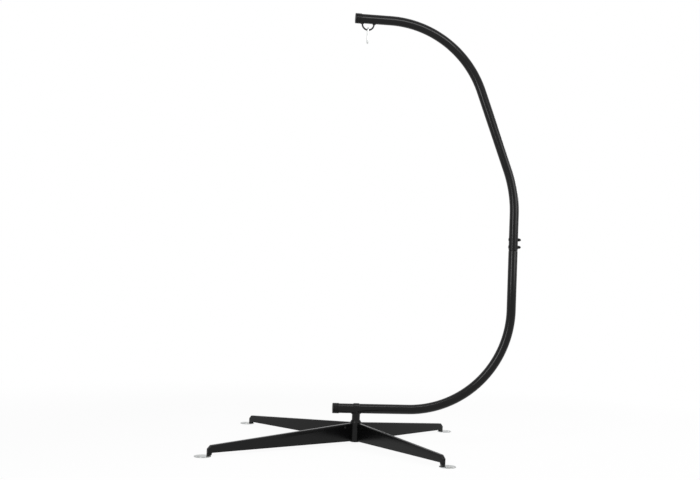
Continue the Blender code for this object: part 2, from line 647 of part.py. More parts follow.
def hub_parts():
    tube = turned_mesh(ring_profile(HUB_R, HUB_BORE_R, HUB_BOTTOM, HUB_TOP))
    add_object("hub_tube", tube, COATED, BASE_FRAME)
    seat = HUB_BORE_R - GAP
    bolt_hole = PIVOT_RADIUS + 2 * BOLT_PLAY
    floor = turned_mesh(ring_profile(seat, bolt_hole, FLOOR_Z, FLOOR_Z + FLOOR_THICK))
    add_object("hub_floor", floor, COATED, BASE_FRAME)

    bearing = NECK_R + GAP
    low = LOWER_BUSH_Z
    inside = low + LOWER_BUSH_FLOOR
    top = low + LOWER_BUSH_HEIGHT
    profile = [(seat, top), (seat, low), (bolt_hole, low), (bolt_hole, inside), (bearing, inside),
               (bearing, top)]
    add_object("lower_bush", turned_mesh(profile), NYLON, BASE_FRAME)

    foot = HUB_TOP + GAP
    profile = [(bearing + COLLAR_TOP_WALL, foot + COLLAR_HEIGHT), (HUB_R, foot + COLLAR_RIM), (HUB_R, foot),
               (seat, foot), (seat, HUB_TOP - COLLAR_SLEEVE), (bearing, HUB_TOP - COLLAR_SLEEVE),
               (bearing, foot + COLLAR_HEIGHT)]
    add_object("collar_bush", turned_mesh(profile), PLASTIC, BASE_FRAME)

    face = HUB_BOTTOM - GAP
    skirt = seat - PLUG_SKIRT_WALL
    profile = [(0, face), (skirt, face), (skirt, face + PLUG_SKIRT), (seat, face + PLUG_SKIRT), (seat, face),
               (PLUG_RADIUS + PLUG_EDGE, face), (PLUG_RADIUS, face - PLUG_FACE), (0, face - PLUG_FACE)]
    add_object("hub_plug", turned_mesh(profile, closed=False), PLASTIC, BASE_FRAME)


def feet():
    """Name, angle seen from above in the base's frame, and distance from the hub, for each foot plate."""
    half = FOOT_SPAN / 2
    made = []
    for name, x, y in (("front_left", -half, -half), ("back_left", -half, half),
                       ("front_right", half, -half), ("back_right", half, half)):
        across = x - FOOT_OFFSET
        made.append((name, math.atan2(y, across), math.hypot(across, y)))
    return made


def leg_slope(reach):
    """Fall of a leg's top edge."""
    return (LEG_ROOT_TOP - LEG_TIP_TOP) / (reach - LEG_SHORT_OF_FOOT - LEG_CHAMFER - HUB_R)


def leg_top(reach, out, below=0.0):
    """Height of a leg's top edge, or of a line a distance below it, out from the hub's axis."""
    slope = leg_slope(reach)
    return LEG_ROOT_TOP - slope * (out - HUB_R) - below * math.hypot(1, slope)


def leg_outline(reach):
    end = reach - LEG_SHORT_OF_FOOT
    heel = end - HEEL_LENGTH
    root = HUB_BORE_R / 2                             # inside the hub, where the leg is cut away
    low = arc((heel + HEEL_ROUND, SOLE_TOP + HEEL_ROUND), HEEL_ROUND, math.pi, 1.5 * math.pi, HEEL_STEPS)
    outline = [(root, LEG_UNDERSIDE), (heel, LEG_UNDERSIDE)] + low
    outline += [(end, SOLE_TOP), (end, LEG_TIP_TOP - LEG_CHAMFER), (end - LEG_CHAMFER, LEG_TIP_TOP)]
    outline.append((root, leg_top(reach, root)))
    return outline


def leg_inside(reach):
    """Outline of the hollow: the sheet's thickness in from the top, the chamfer and the end."""
    end = reach - LEG_SHORT_OF_FOOT
    heel = end - HEEL_LENGTH - GAP
    root = HUB_BORE_R / 4
    edge = end - LEG_CHAMFER + LEG_TIP_TOP - LEG_WALL * math.sqrt(2)      # x + z along the chamfer's inside
    turn = (edge - leg_top(reach, 0, LEG_WALL)) / (1 - leg_slope(reach))
    below = SOLE_TOP - HEEL_FLOOR
    floor = SOLE_TOP + HEEL_FLOOR
    wall = end - LEG_WALL
    return [(root, below), (heel, below), (heel, floor), (wall, floor), (wall, edge - wall),
            (turn, edge - turn), (root, leg_top(reach, root, LEG_WALL))]


def round_sheet_edges(mesh):
    """Bend radius along the top, the chamfer and the end of a leg."""
    work = bmesh.new()
    work.from_mesh(mesh)
    bmesh.ops.dissolve_limit(work, angle_limit=STRAIGHT, verts=work.verts, edges=work.edges)
    wanted = []
    for edge in work.edges:
        a, b = (v.co for v in edge.verts)
        on_side = abs(a.y - b.y) < MERGE
        high = min(a.z, b.z) > LEG_UNDERSIDE
        upright_end = abs(a.x - b.x) < MERGE and max(a.z, b.z) > LEG_UNDERSIDE and min(a.x, b.x) > HUB_OD
        heel_side = max(a.z, b.z) < LEG_UNDERSIDE + MERGE
        if on_side and (high or upright_end) and not heel_side:
            wanted.append(edge)
    bmesh.ops.bevel(work, geom=wanted, offset=LEG_EDGE, segments=BEVEL_STEPS, affect="EDGES", profile=0.5)
    work.to_mesh(mesh)
    work.free()
    return mesh


def legs():
    """Folded sheet legs, open below, and the box-section stubs in their roots."""
    across = prism_mesh(M6_RADIUS + BOLT_PLAY, LEG_WIDTH * 2)
    sole = prism_mesh(M5_RADIUS + BOLT_PLAY, LEG_UNDERSIDE)
    hub = cutter("hub", prism_mesh(HUB_R + GAP, 2 * HUB_TOP, TURNED_STEPS), BASE_FRAME)
    for name, angle, reach in feet():
        spin = (0, 0, angle)
        mesh = round_sheet_edges(outline_mesh(leg_outline(reach), LEG_WIDTH))
        smooth(mesh)
        leg = add_object("leg_" + name, mesh, COATED, BASE_FRAME, rotation=spin)
        hollow = outline_mesh(leg_inside(reach), LEG_WIDTH - 2 * LEG_WALL)
        boolean(leg, cutter("leg_" + name, hollow, BASE_FRAME, rotation=spin))
        boolean(leg, hub)
        boolean(leg, cutter("sole_" + name, sole, BASE_FRAME, outward(angle, screw_out(reach))))

        width = LEG_WIDTH - 2 * LEG_WALL - 2 * GAP
        box = outline_mesh(stub_outline(reach, HUB_BORE_R / 2, HUB_R + STUB_LENGTH, 0.0), width)
        stub = add_object("hub_stub_" + name, box, COATED, BASE_FRAME, rotation=spin)
        inside = stub_outline(reach, HUB_BORE_R / 4, HUB_R + 2 * STUB_LENGTH, STUB_WALL)
        bore = outline_mesh(inside, width - 2 * STUB_WALL)
        boolean(stub, cutter("stub_" + name, bore, BASE_FRAME, rotation=spin))
        boolean(stub, hub)
        start = Matrix.Rotation(angle, 4, "Z") @ Vector((LEG_BOLT_OUT, LEG_WIDTH, LEG_BOLT_HEIGHT))
        drill = cutter("across_" + name, across, BASE_FRAME, start, (math.pi / 2, 0, angle))
        boolean(leg, drill)
        boolean(stub, drill)


def stub_outline(reach, root, end, wall):
    """Outline of a stub under the leg's sheet, or of its hollow where a wall is given."""
    below = LEG_WALL + GAP + wall
    low = STUB_BOTTOM + wall
    return [(root, low), (end, low), (end, leg_top(reach, end, below)), (root, leg_top(reach, root, below))]


def outward(angle, distance, height=0.0):
    return (distance * math.cos(angle), distance * math.sin(angle), height)


def screw_out(reach):
    """Distance of the foot screw from the hub's axis: the middle of what the heel covers."""
    end = reach - LEG_SHORT_OF_FOOT
    return (end + reach - PLATE_RADIUS) / 2


def foot_plates():
    edge = PLATE_EDGE
    profile = [(0, PLATE_THICK), (PLATE_RADIUS - edge, PLATE_THICK), (PLATE_RADIUS, PLATE_THICK - edge),
               (PLATE_RADIUS, edge), (PLATE_RADIUS - edge, 0), (0, 0)]
    drill = prism_mesh(PEG_HOLE, 3 * PLATE_THICK, TURNED_STEPS)
    hole = M5_RADIUS + BOLT_PLAY
    wide = COUNTERSINK_RADIUS + BOLT_PLAY
    above = 2 * PLATE_THICK
    sink = turned_mesh([(0, above), (hole, above), (hole, COUNTERSINK_DEPTH + GAP), (wide, GAP),
                        (wide, -PLATE_THICK), (0, -PLATE_THICK)], closed=False, steps=BOLT_STEPS)
    for name, angle, reach in feet():
        mesh = turned_mesh(profile, closed=False)
        plate = add_object("foot_plate_" + name, mesh, ZINC, BASE_FRAME, outward(angle, reach), (0, 0, angle))
        peg = outward(angle, reach + PEG_HOLE_OUT, -PLATE_THICK)
        boolean(plate, cutter("peg_" + name, drill, BASE_FRAME, peg))
        boolean(plate, cutter("sink_" + name, sink, BASE_FRAME, outward(angle, screw_out(reach))))


def nut_mesh(radius, flats, height):
    """Hexagon nut standing on Z = 0."""
    nut = add_object("nut", hexagon_mesh(flats, height), ZINC)
    drill = prism_mesh(radius + BOLT_PLAY, 3 * height)
    boolean(nut, cutter("nut_hole", drill, location=(0, 0, -height)))
    return evaluated_mesh(nut)


def foot_fasteners():
    nut_z = SOLE_TOP + HEEL_FLOOR + GAP
    top = nut_z + M5_NUT_HEIGHT + BOLT_OVER
    cone = COUNTERSINK_DEPTH + GAP
    profile = [(0, top), (M5_RADIUS, top), (M5_RADIUS, cone), (COUNTERSINK_RADIUS, GAP), (0, GAP)]
    screws = []
    nuts = []
    for name, angle, reach in feet():
        out = screw_out(reach)
        screws.append((f"foot_screw_{name}", place(outward(angle, out), (0, 0, angle))))
        nuts.append((f"foot_nut_{name}", place(outward(angle, out, nut_z), (0, 0, angle))))
    add_copies(turned_mesh(profile, closed=False, steps=BOLT_STEPS), ZINC, BASE_FRAME, screws)
    add_copies(nut_mesh(M5_RADIUS, M5_NUT_FLATS, M5_NUT_HEIGHT), ZINC, BASE_FRAME, nuts)


def leg_fasteners():
    """Button-head bolts across the legs' roots, heads on one side and nuts on the other."""
    half = LEG_WIDTH / 2 + GAP
    length = 2 * half + M6_NUT_HEIGHT + BOLT_OVER
    head = head_profile(BUTTON_RADIUS, BUTTON_HEIGHT, BUTTON_RIM)
    profile = head + [(M6_RADIUS, 0), (M6_RADIUS, -length), (0, -length)]
    bolts = []
    nuts = []
    for name, angle, _ in feet():
        spin = Matrix.Rotation(angle, 4, "Z")
        left = place((LEG_BOLT_OUT, half, LEG_BOLT_HEIGHT), (-math.pi / 2, 0, 0))
        right = place((LEG_BOLT_OUT, -half, LEG_BOLT_HEIGHT), (math.pi / 2, 0, 0))
        bolts.append((f"leg_bolt_{name}", spin @ left))
        nuts.append((f"leg_nut_{name}", spin @ right))
    add_copies(turned_mesh(profile, closed=False, steps=BOLT_STEPS), COATED, BASE_FRAME, bolts)
    add_copies(nut_mesh(M6_RADIUS, M6_NUT_FLATS, M6_NUT_HEIGHT), COATED, BASE_FRAME, nuts)


lower_arm_tube()
upper_arm_tube()
end_caps()
joint_fasteners()
hanging_eye()
snap_hook_body()
snap_hook_gate()
gate_pin()
gate_spring()
saddle_strap()
neck_post()
pivot_parts()
hub_parts()
legs()
foot_plates()
foot_fasteners()
leg_fasteners()
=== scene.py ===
# %% [markdown]
# # A hammock stand of bent tube, in gloss black powder coat
#
# The stand is a C of 45 mm steel tube that turns in the hub of a four-legged base. A half-ring eye under
# the top run holds a small zinc-plated snap hook. The construction comes in as a frame of plain solids,
# already at its real size. This lesson dresses that frame: it makes finer surfaces where the eye needs
# them, adds the weld beads, and gives every piece the finish that the real one has.

# %% Load the frame
import json
import math
import bmesh
import bpy
from mathutils import Matrix, Vector


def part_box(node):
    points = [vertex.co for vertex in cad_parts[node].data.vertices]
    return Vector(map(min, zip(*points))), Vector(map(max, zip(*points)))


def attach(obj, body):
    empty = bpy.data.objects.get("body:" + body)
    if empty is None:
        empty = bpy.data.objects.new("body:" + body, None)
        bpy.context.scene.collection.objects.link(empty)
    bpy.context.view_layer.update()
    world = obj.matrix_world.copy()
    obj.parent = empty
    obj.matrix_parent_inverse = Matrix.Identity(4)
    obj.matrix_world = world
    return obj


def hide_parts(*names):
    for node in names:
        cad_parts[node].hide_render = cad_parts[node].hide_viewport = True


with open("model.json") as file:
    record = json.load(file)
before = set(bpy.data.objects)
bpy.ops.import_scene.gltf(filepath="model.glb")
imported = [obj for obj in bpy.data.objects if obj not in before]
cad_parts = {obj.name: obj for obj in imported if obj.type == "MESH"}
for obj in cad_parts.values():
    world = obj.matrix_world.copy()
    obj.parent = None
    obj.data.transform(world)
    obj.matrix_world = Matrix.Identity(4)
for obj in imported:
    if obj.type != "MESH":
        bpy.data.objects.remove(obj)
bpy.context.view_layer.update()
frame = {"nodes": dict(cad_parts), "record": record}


# %% [markdown]
# ## Two small helpers for the finishes
#
# A colour picked from a photograph or a paint card is an sRGB value, but a shader works in linear light,
# so one function turns a hex code to linear. The other adds a shader node, sets it up and wires it in one
# line, which keeps each finish short enough to read as a recipe.

# %% Colour and node helpers
def linear(code):
    """Linear colour from an sRGB hex code."""
    parts = [int(code[i:i + 2], 16) / 255 for i in (0, 2, 4)]
    return [c / 12.92 if c <= 0.04045 else ((c + 0.055) / 1.055) ** 2.4 for c in parts] + [1.0]


def add_node(tree, kind, inputs=None, **settings):
    """A node with its settings; an input is a number, a colour, or the socket that feeds it."""
    made = tree.nodes.new(kind)
    for name, value in settings.items():
        setattr(made, name, value)
    for name, value in (inputs or {}).items():
        if isinstance(value, bpy.types.NodeSocket):
            tree.links.new(value, made.inputs[name])
        else:
            made.inputs[name].default_value = value
    return made


# A Mix node has a set of sockets for each kind of value, so they are reached by place and not by name
FACTOR = 0
NUMBER_A, NUMBER_B = 2, 3
COLOUR_A, COLOUR_B, MIXED_COLOUR = 6, 7, 2
WHITE = linear("FFFFFF")
print("mid grey 808080 in linear light:", round(linear("808080")[0], 3))

# %% [markdown]
# ## The camera
#
# The photograph is matched by a normal lens about 4.8 m away, three quarters of a metre above the floor,
# tipped up and rolled by two to three degrees. The picture is an off-centre crop, so the lens is shifted
# sideways instead of turning the camera, which would change the perspective.

# %% Camera
CAMERA_PLACE = (-0.490, -4.743, 0.750)
CAMERA_HEADING = (0.1397, 0.9902)
CAMERA_RISE = math.radians(2.647)
CAMERA_ROLL = math.radians(2.129)
SENSOR_WIDTH = 36.0               # millimetres
FOCAL_PIXELS = 1000.0
PICTURE_WIDTH = 700.0
CENTRE_PIXEL = 400.0

lens = bpy.data.cameras.new("camera")
lens.sensor_width = SENSOR_WIDTH
lens.lens = SENSOR_WIDTH * FOCAL_PIXELS / PICTURE_WIDTH
lens.shift_x = (PICTURE_WIDTH / 2 - CENTRE_PIXEL) / PICTURE_WIDTH
camera = bpy.data.objects.new("camera", lens)
heading = math.atan2(-CAMERA_HEADING[0], CAMERA_HEADING[1])
turn = Matrix.Rotation(heading, 4, "Z") @ Matrix.Rotation(math.pi / 2 + CAMERA_RISE, 4, "X")
camera.matrix_world = Matrix.Translation(CAMERA_PLACE) @ turn @ Matrix.Rotation(CAMERA_ROLL, 4, "Z")
bpy.context.scene.collection.objects.link(camera)
bpy.context.scene.camera = camera
print("lens", round(lens.lens, 1), "mm, shift", round(lens.shift_x, 4))

# %% [markdown]
# ## The studio
#
# The picture is a product shot on pure white. An even white world gives that background, and it has to be
# the same white for mirror rays as for the camera, or the zinc plate would mirror a room that isn't there.
# Only the light that falls on dull surfaces is kept lower, so that the world and the lamps together come
# to a plain level at which a colour looks as it is written.

# %% World
FILL = 0.42                       # the world's share of the light, where 1 is white
scene = bpy.context.scene
scene.view_settings.view_transform = "Standard"
world = bpy.data.worlds.new("studio")
scene.world = world
world.use_nodes = True
tree = world.node_tree
tree.nodes.clear()


def seen_share(tree):
    """1 for the camera's rays and for mirror and glass rays, 0 for the light itself."""
    rays = add_node(tree, "ShaderNodeLightPath")
    mirror = add_node(tree, "ShaderNodeMath", {0: rays.outputs["Is Glossy Ray"],
                                               1: rays.outputs["Is Transmission Ray"]}, operation="MAXIMUM")
    either = add_node(tree, "ShaderNodeMath", {0: rays.outputs["Is Camera Ray"], 1: mirror.outputs[0]},
                      operation="MAXIMUM")
    return either.outputs[0]


level = add_node(tree, "ShaderNodeMix", {FACTOR: seen_share(tree), NUMBER_A: FILL, NUMBER_B: 1.0},
                 data_type="FLOAT")
sky = add_node(tree, "ShaderNodeBackground", {"Color": WHITE, "Strength": level.outputs[0]})
add_node(tree, "ShaderNodeOutputWorld", {"Surface": sky.outputs[0]})
print("world: light level", FILL, "and white wherever it is seen")

# %% [markdown]
# ## The floor
#
# The stand needs ground under its feet and a soft shadow to sit in, but the picture has one even white. So
# the floor is white paper that, where it is seen, shines mostly by itself at the same white as the world.
# A small share of it is still lit paper, and that share keeps the shadow. Further out it melts into the
# world's white.

# %% Floor
FLOOR_RADIUS, FLOOR_SIDES = 14.0, 96
FLOOR_GLOW = 0.92                 # the share of seen floor that is plain white near the stand
MELT_START, MELT_END = 1.2, 3.2   # metres from the hub, between which that share grows to the whole


def mesh_from(work, name):
    """The faces drawn so far as a new mesh; the drawing is freed."""
    mesh = bpy.data.meshes.new(name)
    work.to_mesh(mesh)
    work.free()
    return mesh


work = bmesh.new()
bmesh.ops.create_circle(work, cap_ends=True, segments=FLOOR_SIDES, radius=FLOOR_RADIUS)
disc = mesh_from(work, "floor")
floor = bpy.data.objects.new("floor", disc)
scene.collection.objects.link(floor)
paper = bpy.data.materials.new("white_backdrop_paper")
paper.use_nodes = True
tree = paper.node_tree
tree.nodes.clear()
where = add_node(tree, "ShaderNodeTexCoord")
away = add_node(tree, "ShaderNodeVectorMath", {0: where.outputs["Object"]}, operation="LENGTH")
melt = add_node(tree, "ShaderNodeMapRange",
                {"Value": away.outputs["Value"], "From Min": MELT_START, "From Max": MELT_END,
                 "To Min": FLOOR_GLOW, "To Max": 1.0}, interpolation_type="SMOOTHSTEP")
lit = add_node(tree, "ShaderNodeBsdfDiffuse", {"Color": linear("F8F8F8")})
glow = add_node(tree, "ShaderNodeEmission", {"Color": WHITE, "Strength": 1.0})
far = add_node(tree, "ShaderNodeMath", {0: melt.outputs[0], 1: seen_share(tree)}, operation="MULTIPLY")
both = add_node(tree, "ShaderNodeMixShader", {0: far.outputs[0], 1: lit.outputs[0], 2: glow.outputs[0]})
add_node(tree, "ShaderNodeOutputMaterial", {"Surface": both.outputs[0]})
disc.materials.append(paper)
print("floor radius", FLOOR_RADIUS, "m")

# %% [markdown]
# ## The lamps
#
# A glossy tube draws each lamp as a line along itself, so the lines in the picture say where the lamps
# stood. One bank hangs in front of and over the stand: it draws the line on both level runs. A tall
# softbox on the left draws the fine bright line down the upright, and a dimmer one on the right draws the
# wide line beside it. A fourth, on the right and a little behind, lights the rim of the knee: a tube
# mirrors most at its edge, so it only shows there. A line is as wide as its lamp looks from the tube, so
# the lamps are large and only moderately bright. Each is given by the brightness of its face, because
# that is what the paint mirrors.

# %% Lamps
ARM_REACH = 0.737                 # from the hub's axis to the upright, which three of the lamps face


def softbox(name, place, target, width, height, brightness):
    """A rectangular lamp whose face has the given brightness, where 1 is white."""
    data = bpy.data.lights.new(name, "AREA")
    data.shape = "RECTANGLE"
    data.size = width
    data.size_y = height
    data.energy = brightness * math.pi * width * height
    lamp = bpy.data.objects.new(name, data)
    lamp.location = place
    aim = Vector(target) - Vector(place)
    lamp.rotation_euler = aim.to_track_quat("-Z", "Y").to_euler()
    lamp.visible_camera = False
    scene.collection.objects.link(lamp)


softbox("overhead_bank", place=(0.36, -0.81, 2.36), target=(0.36, 0.0, 1.00),
        width=0.85, height=0.34, brightness=7.5)
softbox("left_softbox", place=(-1.38, -2.13, 1.90), target=(ARM_REACH, 0.0, 1.4),
        width=0.80, height=1.7, brightness=8.5)
softbox("right_softbox", place=(2.76, -2.23, 1.88), target=(ARM_REACH, 0.0, 1.3),
        width=1.90, height=1.4, brightness=4.0)
softbox("rim_softbox", place=(2.11, 0.85, 1.82), target=(ARM_REACH, 0.0, 1.4),
        width=1.50, height=0.65, brightness=6.0)

# %% [markdown]
# ## Powder coat
#
# Almost everything here is steel under polyester powder: dry paint is sprayed on with a charge and baked,
# and it flows into a thick, even, glossy skin. The skin is a plastic, so it is a dielectric with an IOR
# near 1.5, not a metal. Up close it has orange peel, low swells 1 to 3 mm across, and its gloss wanders a
# little where it baked slower. Handling leaves fine rubs that only show in the highlights. Here the paint
# mirrors white all round, so its mirror is set weaker than plain plastic's, which keeps its dark faces
# nearly as dark as the picture's.

# %% Material: polyester powder coat
def new_finish(name, colour, roughness, metallic=0.0, ior=1.5):
    """A material with one Principled shader, ready for its pattern nodes."""
    made = bpy.data.materials.new(name)
    made.use_nodes = True
    tree = made.node_tree
    tree.nodes.clear()
    shader = add_node(tree, "ShaderNodeBsdfPrincipled", {"Base Color": linear(colour), "Roughness": roughness,
                                                         "Metallic": metallic, "IOR": ior})
    add_node(tree, "ShaderNodeOutputMaterial", {"Surface": shader.outputs[0]})
    return made, tree, shader


MM = 0.001
METRE = 1000 * MM
PEEL, PEEL_HEIGHT = 2.2 * MM, 0.015 * MM         # width and height of one swell of orange peel
FINE_PEEL = PEEL / 6
BAKE_PATCH = METRE / 9                           # width of a patch that baked alike
RUB_LENGTH, RUB_WIDTH = 30 * MM, METRE / 260
COAT_MIRROR = 0.2                                # plain plastic has 0.5
COAT_SMOOTHEST, COAT_ROUGHEST, RUB_ROUGHNESS = 0.17, 0.23, 0.05
powder_coat, tree, shader = new_finish("polyester_powder_coat", "060606", 0.2)
shader.inputs["Specular IOR Level"].default_value = COAT_MIRROR
where = add_node(tree, "ShaderNodeTexCoord").outputs["Object"]
peel = add_node(tree, "ShaderNodeTexNoise", {"Vector": where, "Scale": 1 / PEEL, "Detail": 2.0,
                                             "Roughness": 0.45})
fine = add_node(tree, "ShaderNodeTexNoise", {"Vector": where, "Scale": 1 / FINE_PEEL, "Detail": 1.0})
height = add_node(tree, "ShaderNodeMath", {0: fine.outputs[0], 1: 0.15, 2: peel.outputs[0]},
                  operation="MULTIPLY_ADD")
bump = add_node(tree, "ShaderNodeBump", {"Height": height.outputs[0], "Strength": 0.5,
                                         "Distance": PEEL_HEIGHT})
tree.links.new(bump.outputs[0], shader.inputs["Normal"])
bake = add_node(tree, "ShaderNodeTexNoise", {"Vector": where, "Scale": 1 / BAKE_PATCH, "Detail": 3.0})
rub_way = add_node(tree, "ShaderNodeMapping", {"Vector": where,
                                               "Scale": (1 / RUB_LENGTH, 1 / RUB_WIDTH, 1 / RUB_LENGTH)})
rubs = add_node(tree, "ShaderNodeTexNoise", {"Vector": rub_way.outputs[0], "Scale": 1.0, "Detail": 5.0,
                                             "Roughness": 0.65})
rubbed = add_node(tree, "ShaderNodeMapRange", {"Value": rubs.outputs[0], "From Min": 0.58, "From Max": 0.75,
                                               "To Min": 0.0, "To Max": RUB_ROUGHNESS})
gloss = add_node(tree, "ShaderNodeMapRange", {"Value": bake.outputs[0], "From Min": 0.3, "From Max": 0.7,
                                              "To Min": COAT_SMOOTHEST, "To Max": COAT_ROUGHEST})
rough = add_node(tree, "ShaderNodeMath", {0: gloss.outputs[0], 1: rubbed.outputs[0]}, operation="ADD")
tree.links.new(rough.outputs[0], shader.inputs["Roughness"])
shade = add_node(tree, "ShaderNodeMix", {FACTOR: bake.outputs[0], COLOUR_A: linear("050505"),
                                         COLOUR_B: linear("0A0A0B")}, data_type="RGBA")
tree.links.new(shade.outputs[MIXED_COLOUR], shader.inputs["Base Color"])
print("orange peel", round(PEEL * 1000, 1), "mm, baked patches", round(BAKE_PATCH * 1000), "mm")

# %% [markdown]
# ## Moulded black plastic
#
# The tube caps, the curved washers, the collar and the plug under the hub are injection-moulded
# polypropylene. The mould was spark-eroded, which leaves a fine even grain of about 0.4 mm, so the surface
# is duller than the paint next to it. Grain of that size is lost even in a close view, so it is drawn
# twice as coarse.

# %% Material: moulded polypropylene
GRAIN, GRAIN_HEIGHT = 0.8 * MM, 0.02 * MM
FLOW_MARK = 25 * MM                              # width of a swirl that the melt left
PLASTIC_MIRROR = 0.18
PLASTIC_SMOOTHEST, PLASTIC_ROUGHEST = 0.32, 0.42
black_plastic, tree, shader = new_finish("moulded_polypropylene", "070707", 0.36, ior=1.49)
shader.inputs["Specular IOR Level"].default_value = PLASTIC_MIRROR
where = add_node(tree, "ShaderNodeTexCoord").outputs["Object"]
grain = add_node(tree, "ShaderNodeTexVoronoi", {"Vector": where, "Scale": 1 / GRAIN}, feature="SMOOTH_F1")
flow = add_node(tree, "ShaderNodeTexNoise", {"Vector": where, "Scale": 1 / FLOW_MARK, "Detail": 4.0})
bump = add_node(tree, "ShaderNodeBump", {"Height": grain.outputs["Distance"], "Strength": 0.3,
                                         "Distance": GRAIN_HEIGHT})
tree.links.new(bump.outputs[0], shader.inputs["Normal"])
dull = add_node(tree, "ShaderNodeMapRange", {"Value": flow.outputs[0], "From Min": 0.3, "From Max": 0.7,
                                             "To Min": PLASTIC_SMOOTHEST, "To Max": PLASTIC_ROUGHEST})
tree.links.new(dull.outputs[0], shader.inputs["Roughness"])
shade = add_node(tree, "ShaderNodeMix", {FACTOR: flow.outputs[0], COLOUR_A: linear("050505"),
                                         COLOUR_B: linear("0A0A0A")}, data_type="RGBA")
tree.links.new(shade.outputs[MIXED_COLOUR], shader.inputs["Base Color"])
print("grain drawn at", round(GRAIN * 1000, 1), "mm")

# %% [markdown]
# ## Bright zinc plate
#
# The foot plates and the snap hook are steel with a few microns of zinc and a clear passivate. It is
# nearly as bright as chrome but softer, with a faint blue to straw cast that drifts across the piece, and
# the sheet's rolling lines still show through it. As a metal it keeps the shader's default IOR. The
# stamped foot plates come out of a barrel greyer and duller than the small polished hook, so the recipe
# is used twice.

# %% Material: zinc plate on steel
ROLLING, ROLLING_LENGTH = 0.5 * MM, METRE / 12   # spacing and length of the rolling lines
ROLLING_HEIGHT = 0.02 * MM
CAST_PATCH = METRE / 45                          # width of a patch of one cast
WORN_SPOT = METRE / 130                          # width of a spot that the barrel wore


def zinc(name, cool, warm, smoothest, roughest):
    """Zinc plating whose cast drifts between two colours and whose gloss drifts between two roughnesses."""
    made, tree, shader = new_finish(name, cool, smoothest, metallic=1.0)
    where = add_node(tree, "ShaderNodeTexCoord").outputs["Object"]
    cast = add_node(tree, "ShaderNodeTexNoise", {"Vector": where, "Scale": 1 / CAST_PATCH, "Detail": 3.0,
                                                 "Distortion": 0.6})
    tint = add_node(tree, "ShaderNodeMix", {FACTOR: cast.outputs[0], COLOUR_A: linear(cool),
                                            COLOUR_B: linear(warm)}, data_type="RGBA")
    tree.links.new(tint.outputs[MIXED_COLOUR], shader.inputs["Base Color"])
    along = add_node(tree, "ShaderNodeMapping",
                     {"Vector": where, "Scale": (1 / ROLLING, 1 / ROLLING_LENGTH, 1 / ROLLING_LENGTH)})
    lines = add_node(tree, "ShaderNodeTexNoise", {"Vector": along.outputs[0], "Scale": 1.0, "Detail": 4.0})
    bump = add_node(tree, "ShaderNodeBump", {"Height": lines.outputs[0], "Strength": 0.35,
                                             "Distance": ROLLING_HEIGHT})
    tree.links.new(bump.outputs[0], shader.inputs["Normal"])
    worn = add_node(tree, "ShaderNodeTexNoise", {"Vector": where, "Scale": 1 / WORN_SPOT, "Detail": 5.0,
                                                 "Roughness": 0.7})
    rough = add_node(tree, "ShaderNodeMapRange", {"Value": worn.outputs[0], "From Min": 0.35, "From Max": 0.7,
                                                  "To Min": smoothest, "To Max": roughest})
    tree.links.new(rough.outputs[0], shader.inputs["Roughness"])
    return made


zinc_plate = zinc("zinc_plate_on_steel", "A3A9AF", "B1B0A8", smoothest=0.18, roughest=0.34)
bright_zinc = zinc("bright_zinc_on_hook", "C6CCD1", "D2D1CA", smoothest=0.14, roughest=0.30)
print("rolling lines every", ROLLING * 1000, "mm")

# %% [markdown]
# ## Nylon and spring wire
#
# Two finishes that are hardly seen. The lower bush is turned from cast nylon, which is milky and slightly
# waxy and keeps fine rings from the tool. The gate's spring is hard-drawn wire, darker than the plating
# round it. The die scores it along its length, and on wire this thin that reads as a mottle, so it is
# drawn as one.

# %% Materials: cast nylon and drawn spring wire
TOOL_MARKS, TOOL_MARK_HEIGHT = 0.6 * MM, 0.03 * MM
NYLON_GLOW, NYLON_GLOW_DEPTH = 0.15, 1.5 * MM    # how much light goes into nylon, and how far
DIE_MARK = METRE / 900                           # width of one mark of the mottle
WIRE_SMOOTHEST, WIRE_ROUGHEST = 0.24, 0.42
nylon, tree, shader = new_finish("cast_nylon", "E3E0D5", 0.45, ior=1.53)
shader.inputs["Subsurface Weight"].default_value = NYLON_GLOW
shader.inputs["Subsurface Scale"].default_value = NYLON_GLOW_DEPTH
where = add_node(tree, "ShaderNodeTexCoord").outputs["Object"]
rings = add_node(tree, "ShaderNodeTexWave", {"Vector": where, "Scale": 1 / (TOOL_MARKS * 2 * math.pi)},
                 bands_direction="Z")
bump = add_node(tree, "ShaderNodeBump", {"Height": rings.outputs[0], "Strength": 0.4,
                                         "Distance": TOOL_MARK_HEIGHT})
tree.links.new(bump.outputs[0], shader.inputs["Normal"])

spring_wire, tree, shader = new_finish("drawn_spring_wire", "9A9B9C", 0.32, metallic=1.0)
where = add_node(tree, "ShaderNodeTexCoord").outputs["Object"]
draw = add_node(tree, "ShaderNodeTexNoise", {"Vector": where, "Scale": 1 / DIE_MARK, "Detail": 4.0})
shade = add_node(tree, "ShaderNodeMix", {FACTOR: draw.outputs[0], COLOUR_A: linear("7E7F80"),
                                         COLOUR_B: linear("ADAEB0")}, data_type="RGBA")
tree.links.new(shade.outputs[MIXED_COLOUR], shader.inputs["Base Color"])
rough = add_node(tree, "ShaderNodeMapRange", {"Value": draw.outputs[0], "To Min": WIRE_SMOOTHEST,
                                              "To Max": WIRE_ROUGHEST})
tree.links.new(rough.outputs[0], shader.inputs["Roughness"])

SLOT_FINISH = {"powder_coat": powder_coat, "black_plastic": black_plastic, "zinc_plate": zinc_plate,
               "nylon": nylon, "spring_steel": spring_wire}
print("finishes:", [m.name for m in (*SLOT_FINISH.values(), bright_zinc)])

# %% [markdown]
# ## Finish the frame's own solids
#
# Plain nuts, plugs, bushes and box sections already have the right shape, so they stay and only change
# their finish. The frame's record says which finish each one belongs to. The nuts also get a narrow bevel,
# because no real edge is perfectly sharp and it is the broken edge that catches the light.

